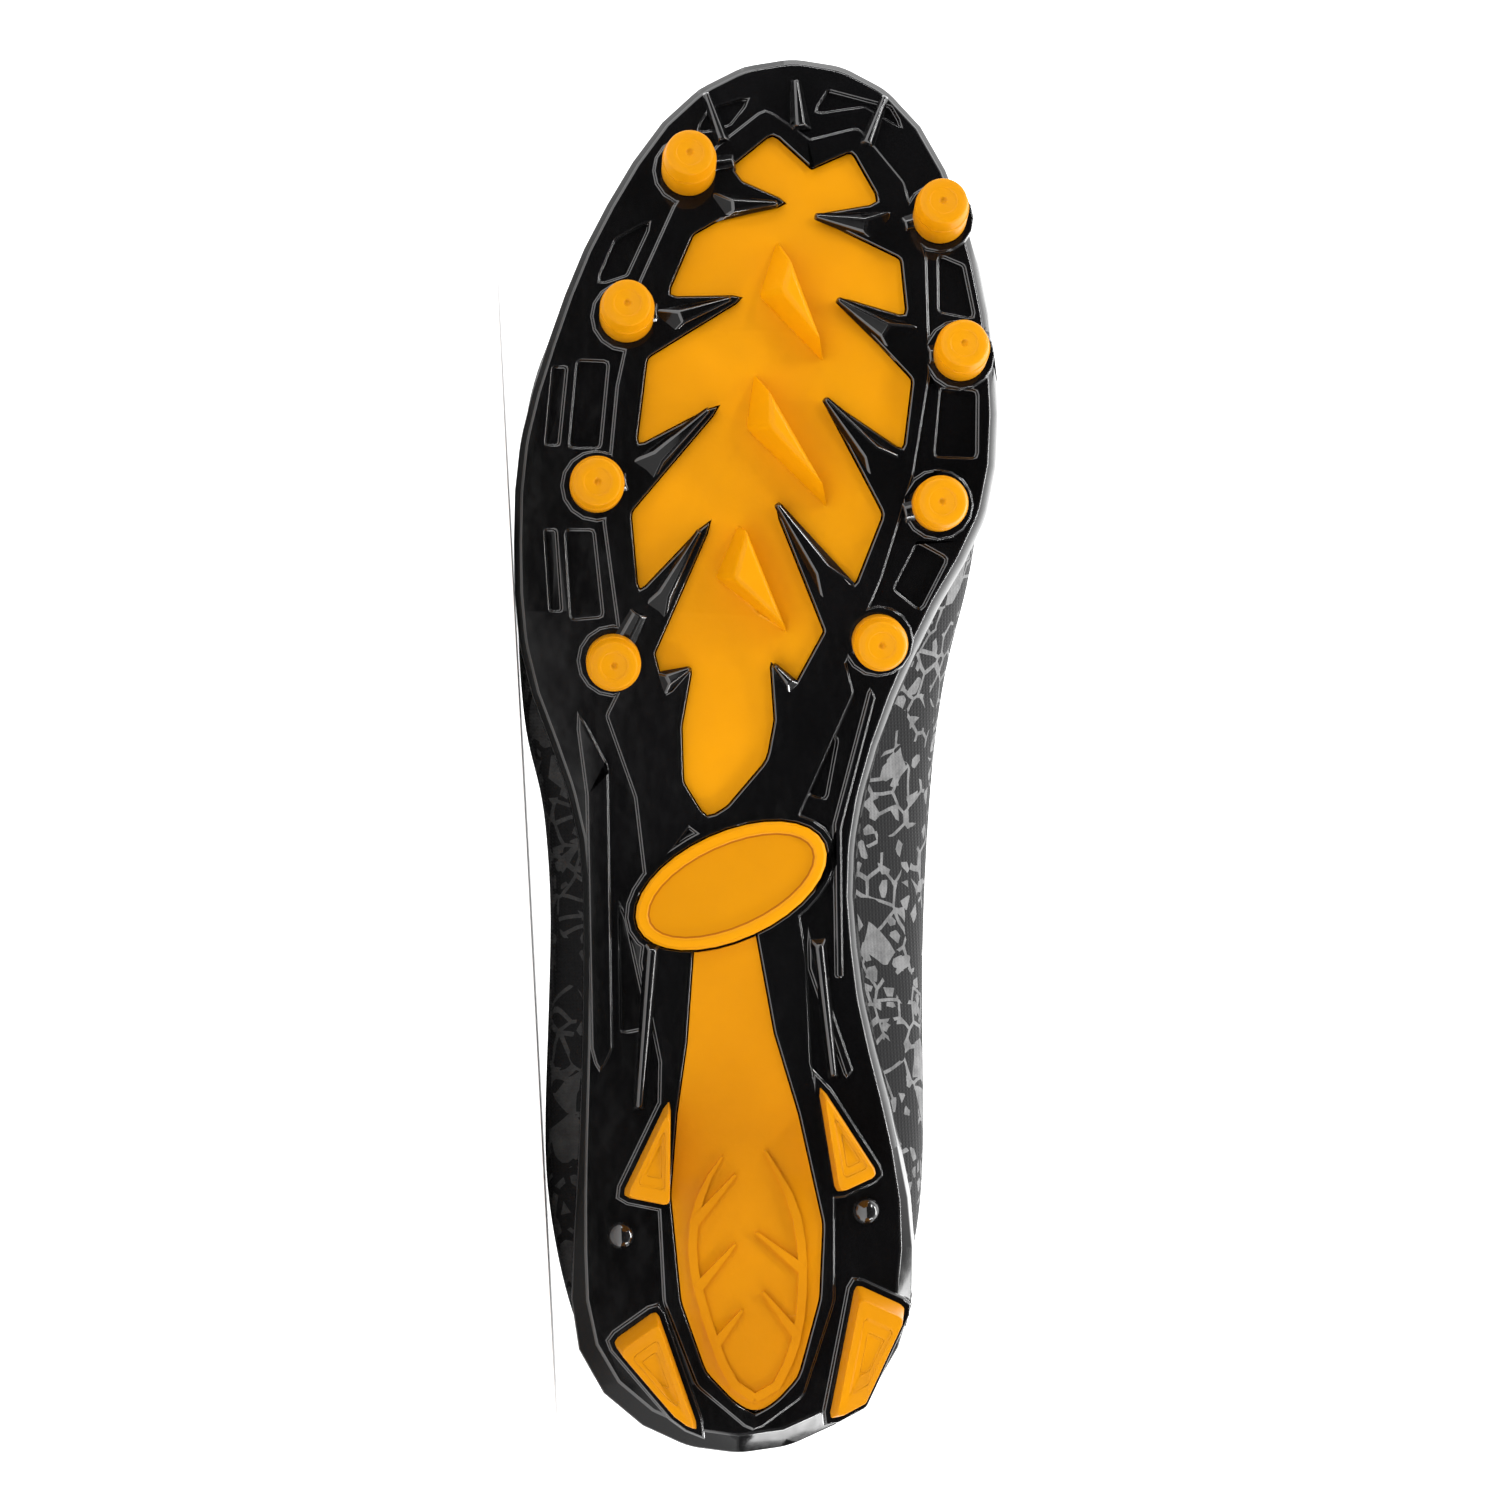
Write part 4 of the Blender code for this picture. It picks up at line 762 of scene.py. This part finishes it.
def studs():
    """A round stud on each stud's own axis, its foot where the solid's foot is."""
    pattern = round_stud()
    for side in SIDES:
        for number in range(1, 5):
            node = f"stud_{side}_{number}"
            middle, directions, _ = axis_of(node)
            along = max(directions, key=lambda direction: abs(direction.y))
            along = along if along.y > 0 else -along
            depths = [vertex.co.dot(along) for vertex in cad[node].data.vertices]
            foot = middle + along * (min(depths) - middle.dot(along))
            stud = twin(pattern)
            stud.name = f"round_stud_{side}_{number}"
            turn = along.to_track_quat("Z", "X").to_matrix().to_4x4()
            stud.data.transform(Matrix.Translation(foot) @ turn)
            dressed(stud, STUD, "stud_orange", node)
    bpy.data.objects.remove(pattern, do_unlink=True)


DOME_RADIUS = 0.0029
DOME_FLATNESS = 0.82


def domes():
    """Two flattened half balls beside the strip."""
    for side in SIDES:
        node = f"heel_dome_{side}"
        low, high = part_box(node)
        centre = (low + high) / 2
        foot = (centre.x, low.y, centre.z)
        blank()
        bpy.ops.mesh.primitive_uv_sphere_add(segments=32, ring_count=20, radius=DOME_RADIUS,
                                             location=foot, rotation=(pi / 2, 0, 0))
        dome = bpy.context.active_object
        dome.name = f"gloss_dome_{side}"
        bpy.ops.object.transform_apply()
        edit("SELECT")
        bpy.ops.mesh.bisect(plane_co=(0, low.y, 0), plane_no=(0, 1, 0), use_fill=True,
                            clear_inner=True)
        bpy.ops.mesh.select_all(action="SELECT")
        bpy.ops.transform.resize(value=(1, DOME_FLATNESS, 1), center_override=foot)
        leave_edit()
        bpy.ops.object.shade_smooth_by_angle(angle=radians(40.0))
        dressed(dome, EDGE, "gloss_black", node)


# Upper, tongue and insole

def cavity_line(x):
    """Height of the middle of the foot's room at a length, in the shoe's frame."""
    return float(np.interp(x, (0.0, 0.1, 0.15, 0.2, 0.3), (0.05, 0.045, 0.042, 0.036, 0.034)))


def smooth_shell(node, name, levels):
    """A copy of a solid as a soft surface."""
    shell = copied(node, name)
    edit("SELECT")
    bpy.ops.mesh.tris_convert_to_quads(face_threshold=radians(50.0),
                                       shape_threshold=radians(70.0))
    leave_edit()
    finer = shell.modifiers.new("finer", "SUBSURF")
    finer.levels = levels
    finer.render_levels = levels
    apply_all(shell)
    bpy.ops.object.shade_smooth()
    return shell


# Flex creases over the ball and the padded roll below the collar: x along the shoe, slant of the
# crease per metre of y, half width, depth (a roll has a negative depth), and lowest height reached
CREASES = (
    (0.196, 0.25, 0.0042, 0.0011, 0.046), (0.208, 0.22, 0.0036, 0.0009, 0.044),
    (0.2195, 0.18, 0.0034, 0.0007, 0.042), (0.202, 0.24, 0.0040, -0.0006, 0.046),
    (0.214, 0.20, 0.0036, -0.0005, 0.044))
CREASE_FADE = 0.012

# Drop of the roll below the rim, its half width and height, and where it ends towards the toe
COLLAR_ROLL = (0.011, 0.0075, 0.0014)
ROLL_FRONT = 0.105
ROLL_FADE = 0.02

# Middle of the ankle along the shoe, and the sectors round it in which the rim is sought
ANKLE = 0.06
SECTORS = 36


def crease(mesh):
    """Soft troughs across the vamp, and a padded roll all round below the collar."""
    places = places_of(mesh)
    normals = np.array([tuple(vertex.normal) for vertex in mesh.vertices])
    shift = np.zeros(len(places))
    x, y, z = places.T
    for middle, slant, width, depth, lowest in CREASES:
        across = np.exp(-((x - middle - slant * y) / width) ** 2)
        shift -= depth * across * np.clip((z - lowest) / CREASE_FADE, 0.0, 1.0)
    drop, width, height = COLLAR_ROLL
    from_ankle = np.array([tuple(SHOE.to_3x3() @ Vector((px - ANKLE, py, 0.0)))
                           for px, py in zip(x, y)])
    outer = np.einsum("ij,ij->i", normals, from_ankle) > 0.0
    roll = height * np.exp(-((rim_height(places) - z - drop) / width) ** 2)
    roll *= np.clip((ROLL_FRONT - x) / ROLL_FADE, 0.0, 1.0)
    shift += np.where(outer, roll, 0.0)
    for vertex, normal, amount in zip(mesh.vertices, normals, shift):
        vertex.co += Vector(normal) * float(amount)


def rim_height(places):
    """Height of the collar above each place, from the highest points in each sector."""
    x, y, z = places.T
    turns = np.arctan2(y, x - ANKLE) / (2.0 * pi) + 0.5
    sector = np.floor(turns * SECTORS).astype(int) % SECTORS
    tops = np.array([z[sector == k].max() if np.any(sector == k) else 0.0
                     for k in range(SECTORS)])
    tops = (np.roll(tops, 1) + tops + np.roll(tops, -1)) / 3.0
    return tops[sector]


def soft_upper():
    """The printed shell, its lining on the faces that look at the foot."""
    upper = smooth_shell("upper", "textile_upper", 2)
    mesh = upper.data
    for face in mesh.polygons:
        centre = HOME @ face.center
        normal = HOME.to_3x3() @ face.normal
        from_line = Vector((0.0, centre.y, centre.z - cavity_line(centre.x)))
        face.material_index = 1 if normal.dot(from_line) < 0.0 else 0
    crease(mesh)
    dressed(upper, (PRINT, LINING), "knit_black", "upper")


def soft_tongue():
    tongue = smooth_shell("tongue", "soft_tongue", 2)
    dressed(tongue, TONGUE, "knit_black", "tongue")


def sock_liner():
    liner = flattened(copied("insole", "sock_liner"))
    softened(liner, 0.0006, segments=2, angle=40.0, smooth=40.0)
    dressed(liner, LINING, "lining_black", "insole")


def throat_overlay():
    overlay = smooth_shell("eyestay", "throat_overlay", 1)
    dressed(overlay, OVERLAY, "overlay_black", "eyestay")


RING_RADIUS = 0.00262
RING_WIRE = 0.00072
RING_FLATNESS = 0.62


def eyelet_rings():
    """A flattened ring in each lace hole, facing out of it."""
    for side in SIDES:
        for number in EYELETS:
            node = f"eyelet_{side}_{number}"
            middle, directions, spreads = axis_of(node)
            along = directions[int(np.argmin(spreads))]
            along = along if along.y < 0 else -along
            blank()
            bpy.ops.mesh.primitive_torus_add(major_segments=32, minor_segments=10,
                                             major_radius=RING_RADIUS, minor_radius=RING_WIRE)
            ring = bpy.context.active_object
            ring.name = f"lace_ring_{side}_{number}"
            edit()
            bpy.ops.transform.resize(value=(1, 1, RING_FLATNESS))
            leave_edit()
            bpy.ops.object.shade_smooth()
            turn = along.to_track_quat("Z", "Y").to_matrix().to_4x4()
            ring.data.transform(Matrix.Translation(middle) @ turn)
            dressed(ring, OVERLAY, "overlay_black", node)


# Width of a lace bar in the open and where it is gathered in its eyelets, and its thickness
LACE_WIDE = 0.0054
LACE_NARROW = 0.0030
LACE_THICK = 0.0010

# How the lace leaves an eyelet: depth of its hidden end, height at the ring's lip, then height, way
# inwards and share of its width where it turns over
LACE_END = 0.0022
LACE_LIP = 0.0012
LACE_TURN = (0.0030, 0.0024)

LACE_GATHERED = 0.35

# Beside the middle: share of the way there and of the lift to it
LACE_BESIDE = 0.35
LACE_LIFT = 0.30

# How far it lies below the crown of the solid, and how deep it cups where it is narrow
LACE_SETTLE = 0.0004
LACE_CUP = 0.0006


def lace_bars():
    """Flat lace: each bar comes up out of one eyelet, crosses over and goes down the other."""
    flat = places_of(cad["lace"].data)
    high = Vector((0.0, 0.0, 1.0))
    bars = []
    for number in EYELETS:
        ends = []
        for side in SIDES:
            middle, directions, spreads = axis_of(f"eyelet_{side}_{number}")
            up = HOME.to_3x3() @ directions[int(np.argmin(spreads))]
            ends.append((HOME @ middle, up if up.z > 0.0 else -up))
        (start, start_up), (end, end_up) = ends
        near = np.abs(flat[:, 0] - 0.5 * (start.x + end.x)) < 0.005
        crown = float(flat[near, 2].max()) - LACE_SETTLE
        middle = Vector((0.5 * (start.x + end.x), 0.5 * (start.y + end.y), crown))

        def way_out(eyelet, up, inward):
            """The two stops between the ring's lip and the middle."""
            rise, way = LACE_TURN
            beside = eyelet.lerp(middle, LACE_BESIDE) + high * LACE_LIFT * (crown - eyelet.z)
            return [(eyelet + up * rise + inward * way, up, LACE_GATHERED),
                    (beside, (up + high).normalized(), 1.0)]

        inward = (end - start).normalized()
        stops = [(start - start_up * LACE_END, inward, 0.0),
                 (start + start_up * LACE_LIP, inward, 0.0),
                 *way_out(start, start_up, inward),
                 (middle, high, 1.0),
                 *reversed(way_out(end, end_up, -inward)),
                 (end + end_up * LACE_LIP, -inward, 0.0),
                 (end - end_up * LACE_END, -inward, 0.0)]
        bars.append(ribbon(f"lace_bar_{number}", stops))
    dressed(joined("woven_lace", bars), LACE, "lace_black", "lace")


def ribbon(name, stops):
    """A band through its stops, each a place, an upward side and a share of the full width."""
    steps = 6 * (len(stops) - 1)
    blank()
    bpy.ops.mesh.primitive_grid_add(x_subdivisions=steps, y_subdivisions=4, size=2.0)
    piece = bpy.context.active_object
    piece.name = name
    places = np.array([tuple(stop[0]) for stop in stops])
    ups = np.array([tuple(stop[1]) for stop in stops])
    shares = np.array([stop[2] for stop in stops])
    spots = np.arange(len(stops), dtype=float)

    def along(t):
        return Vector([smooth_value(spots, places[:, axis], t) for axis in range(3)])

    for vertex in piece.data.vertices:
        t = (vertex.co.x + 1.0) / 2.0 * (len(stops) - 1)
        centre = along(t)
        ahead = (along(min(t + 0.05, spots[-1])) - along(max(t - 0.05, 0.0))).normalized()
        up = Vector([float(np.interp(t, spots, ups[:, axis])) for axis in range(3)])
        wide = ahead.cross(up).normalized()
        share = float(np.interp(t, spots, shares))
        width = LACE_NARROW + share * (LACE_WIDE - LACE_NARROW)
        cup = LACE_CUP * (1.0 - share) * (1.0 - vertex.co.y ** 2)
        vertex.co = centre + wide * 0.5 * width * vertex.co.y + wide.cross(ahead) * cup
    into_place(piece)
    thick = piece.modifiers.new("thick", "SOLIDIFY")
    thick.thickness = LACE_THICK
    thick.offset = 0.0
    finer = piece.modifiers.new("finer", "SUBSURF")
    finer.levels = finer.render_levels = 1
    apply_all(piece)
    bpy.ops.object.shade_smooth()
    return piece


def smooth_value(spots, values, t):
    """A smooth curve through the values, which stand at whole numbers."""
    k = int(min(max(np.floor(t), 0), len(spots) - 2))
    share = t - k
    before, first, second, after = (values[min(max(k + step, 0), len(values) - 1)]
                                    for step in (-1, 0, 1, 2))
    return float(0.5 * (2 * first + (second - before) * share
                        + (2 * before - 5 * first + 4 * second - after) * share ** 2
                        + (3 * first - before - 3 * second + after) * share ** 3))


STITCH_SIZE = (0.0021, 0.00062, 0.00055)
STITCH_PITCH = 0.0029
STITCH_PROUD = 0.00008


def stitch_pattern():
    blank()
    bpy.ops.mesh.primitive_uv_sphere_add(segments=8, ring_count=6, radius=0.5)
    pattern = bpy.context.active_object
    edit()
    bpy.ops.transform.resize(value=STITCH_SIZE)
    leave_edit()
    bpy.ops.object.shade_smooth()
    return pattern


def search_tree(mesh, corners):
    return BVHTree.FromPolygons(corners, [tuple(face.vertices) for face in mesh.polygons])


def stitched(name, pattern, surface, path):
    """Stitches along a path, each laid on the surface nearest to it."""
    tree = search_tree(surface.data, [vertex.co for vertex in surface.data.vertices])
    steps = [(after - before).length for before, after in zip(path, path[1:])]
    lengths = np.concatenate(([0.0], np.cumsum(steps)))
    points = np.array([tuple(point) for point in path])
    made = []
    for distance in np.arange(0.5 * STITCH_PITCH, lengths[-1], STITCH_PITCH):
        spot, ahead = (Vector([float(np.interp(d, lengths, points[:, axis])) for axis in range(3)])
                       for d in (distance, distance + 0.0004))
        place, normal, _, _ = tree.find_nearest(spot)
        forward = (ahead - spot).normalized()
        across = normal.cross(forward).normalized()
        forward = across.cross(normal)
        stitch = twin(pattern)
        turn = Matrix((forward, across, normal)).transposed().to_4x4()
        stitch.data.transform(Matrix.Translation(place + normal * STITCH_PROUD) @ turn)
        made.append(stitch)
    dressed(joined(name, made), THREAD, "lace_black")


# Rows on the overlay, outwards from the eyelets, and how far a row runs on past the first and last
# eyelet, as a share of their pitch
OVERLAY_ROWS = (0.0052, -0.0048)
RUN_ON_FRONT = 0.35
RUN_ON_BACK = 0.3

# The collar's row: drop below the rim, angles round the ankle in degrees, half the sector in which
# the rim is sought, in radians, and how far outside the ankle the search for the surface starts
COLLAR_DROP = 0.0165
COLLAR_ANGLES = (40.0, 321.0, 8.0)
COLLAR_SECTOR = 0.12
SEARCH_FROM = 0.12


def overlay_stitches(pattern):
    overlay = bpy.data.objects["throat_overlay"]
    eyelets = {side: [axis_of(f"eyelet_{side}_{number}")[0] for number in EYELETS]
               for side in SIDES}
    for side, other in (SIDES, SIDES[::-1]):
        centres = eyelets[side]
        outward = [(here - there).normalized() for here, there in zip(centres, eyelets[other])]
        front = centres[0] * (1.0 + RUN_ON_FRONT) - centres[1] * RUN_ON_FRONT
        back = centres[-1] * (1.0 + RUN_ON_BACK) - centres[-2] * RUN_ON_BACK
        centres = [front, *centres, back]
        outward = [outward[0], *outward, outward[-1]]
        for row, distance in enumerate(OVERLAY_ROWS, start=1):
            path = [centre + away * distance for centre, away in zip(centres, outward)]
            stitched(f"overlay_stitches_{side}_{row}", pattern, overlay, path)


def collar_stitches(pattern):
    """One row round the ankle, found by looking inwards from outside the upper."""
    upper = bpy.data.objects["textile_upper"]
    places = places_of(upper.data)
    rim = rim_height(places)
    tree = search_tree(upper.data, [HOME @ vertex.co for vertex in upper.data.vertices])
    directions = np.arctan2(places[:, 1], places[:, 0] - ANKLE)
    path = []
    for angle in np.arange(*COLLAR_ANGLES):
        away = Vector((cos(radians(angle)), sin(radians(angle)), 0.0))
        ring = np.abs(directions - np.arctan2(away.y, away.x)) < COLLAR_SECTOR
        height = float(rim[ring].min()) - COLLAR_DROP
        hit = tree.ray_cast(Vector((ANKLE, 0.0, height)) + away * SEARCH_FROM, -away)
        if hit[0] is not None:
            path.append(SHOE @ hit[0])
    stitched("collar_stitches", pattern, upper, path)


def stitches():
    pattern = stitch_pattern()
    overlay_stitches(pattern)
    collar_stitches(pattern)
    bpy.data.objects.remove(pattern, do_unlink=True)


# Camera, light and floor

FLOOR_SPAN = 60.0
FLOOR_DROP = 0.0002
ROOM_STRENGTH = 2.4

# Lamps: place, width, height and watts
LAMPS = {
    "key_panel": ((0.75, 0.95, 1.00), 0.5, 0.12, 5.6),
    "side_panel": ((-0.1, 0.42, 1.35), 1.4, 0.08, 13.5),
    "toe_panel": ((1.25, 0.60, 0.25), 0.06, 0.5, 2.6),
    "heel_panel": ((-1.25, 0.45, 0.45), 0.08, 0.7, 7.0),
}

# In the shoe's own frame
LAMP_AIM = (0.14, 0.0, 0.02)
CAMERA_EYE = (0.1505, -0.050, -1.28)
CAMERA_AIM = (0.1505, 0.0005, 0.010)
LENS = 145.9


def pale_floor():
    blank()
    bpy.ops.mesh.primitive_plane_add(size=1.0, location=(0, 0, -FLOOR_DROP))
    floor = bpy.context.active_object
    floor.name = "pale_floor"
    edit()
    bpy.ops.transform.resize(value=(FLOOR_SPAN, FLOOR_SPAN, 1.0))
    leave_edit()
    made, tree, shader = new_material("pale_floor_paint")
    tone = greys(tree, noise(tree, coordinates(tree), 3.0), ((0.3, 0.86), (0.7, 0.90)))
    tree.links.new(tone, shader.inputs["Base Color"])
    finish(shader, roughness=0.75)
    floor.data.materials.append(made)


def pale_room():
    """Light from the backdrop and, in front of it, from above; dim behind the camera."""
    scene = bpy.context.scene
    scene.world = scene.world or bpy.data.worlds.new("pale_room")
    scene.world.use_nodes = True
    tree = scene.world.node_tree
    room = tree.nodes["Background"]
    direction = tree.nodes.new("ShaderNodeTexCoord")
    split = tree.nodes.new("ShaderNodeSeparateXYZ")
    tree.links.new(direction.outputs["Generated"], split.inputs["Vector"])
    behind = maths(tree, "MULTIPLY_ADD", split.outputs["Y"], 0.5)
    behind.node.inputs[2].default_value = 0.5
    backdrop = greys(tree, behind, ((0.0, 1.0), (0.27, 1.0), (0.44, 0.10), (1.0, 0.015)))
    above = greys(tree, split.outputs["Z"], ((0.30, 0.0), (0.62, 1.0)))
    in_front = greys(tree, behind, ((0.50, 1.0), (0.74, 0.06)))
    ceiling = maths(tree, "MULTIPLY", above, in_front)
    tree.links.new(maths(tree, "MAXIMUM", backdrop, ceiling), room.inputs["Color"])
    room.inputs["Strength"].default_value = ROOM_STRENGTH


def lamps():
    target = SHOE @ Vector(LAMP_AIM)
    for name, (place, width, height, watts) in LAMPS.items():
        light = bpy.data.lights.new(name, "AREA")
        light.shape = "RECTANGLE"
        light.size = width
        light.size_y = height
        light.energy = watts
        lamp = bpy.data.objects.new(name, light)
        bpy.context.scene.collection.objects.link(lamp)
        lamp.location = place
        lamp.rotation_euler = (target - Vector(place)).to_track_quat("-Z", "Y").to_euler()


def camera():
    """Straight onto the sole, the toe up in the picture, from a little over the floor."""
    lens = bpy.data.cameras.new("camera")
    lens.sensor_width = 36.0
    lens.lens = LENS
    lens.clip_start = 0.05
    lens.clip_end = 100.0
    made = bpy.data.objects.new("camera", lens)
    bpy.context.scene.collection.objects.link(made)
    eye = SHOE @ Vector(CAMERA_EYE)
    back = (eye - SHOE @ Vector(CAMERA_AIM)).normalized()
    up = (SHOE.to_3x3() @ Vector((1, 0, 0))).normalized()
    right = up.cross(back).normalized()
    up = back.cross(right)
    turn = Matrix((right, up, back)).transposed().to_4x4()
    made.matrix_world = Matrix.Translation(eye) @ turn
    bpy.context.scene.camera = made
    bpy.context.scene.view_settings.view_transform = "Standard"


gloss_plate()
plate_relief()
orange_pieces()
bare_oval()
leaning_blades()
studs()
domes()
soft_upper()
soft_tongue()
sock_liner()
throat_overlay()
eyelet_rings()
lace_bars()
stitches()
pale_floor()
pale_room()
lamps()
camera()
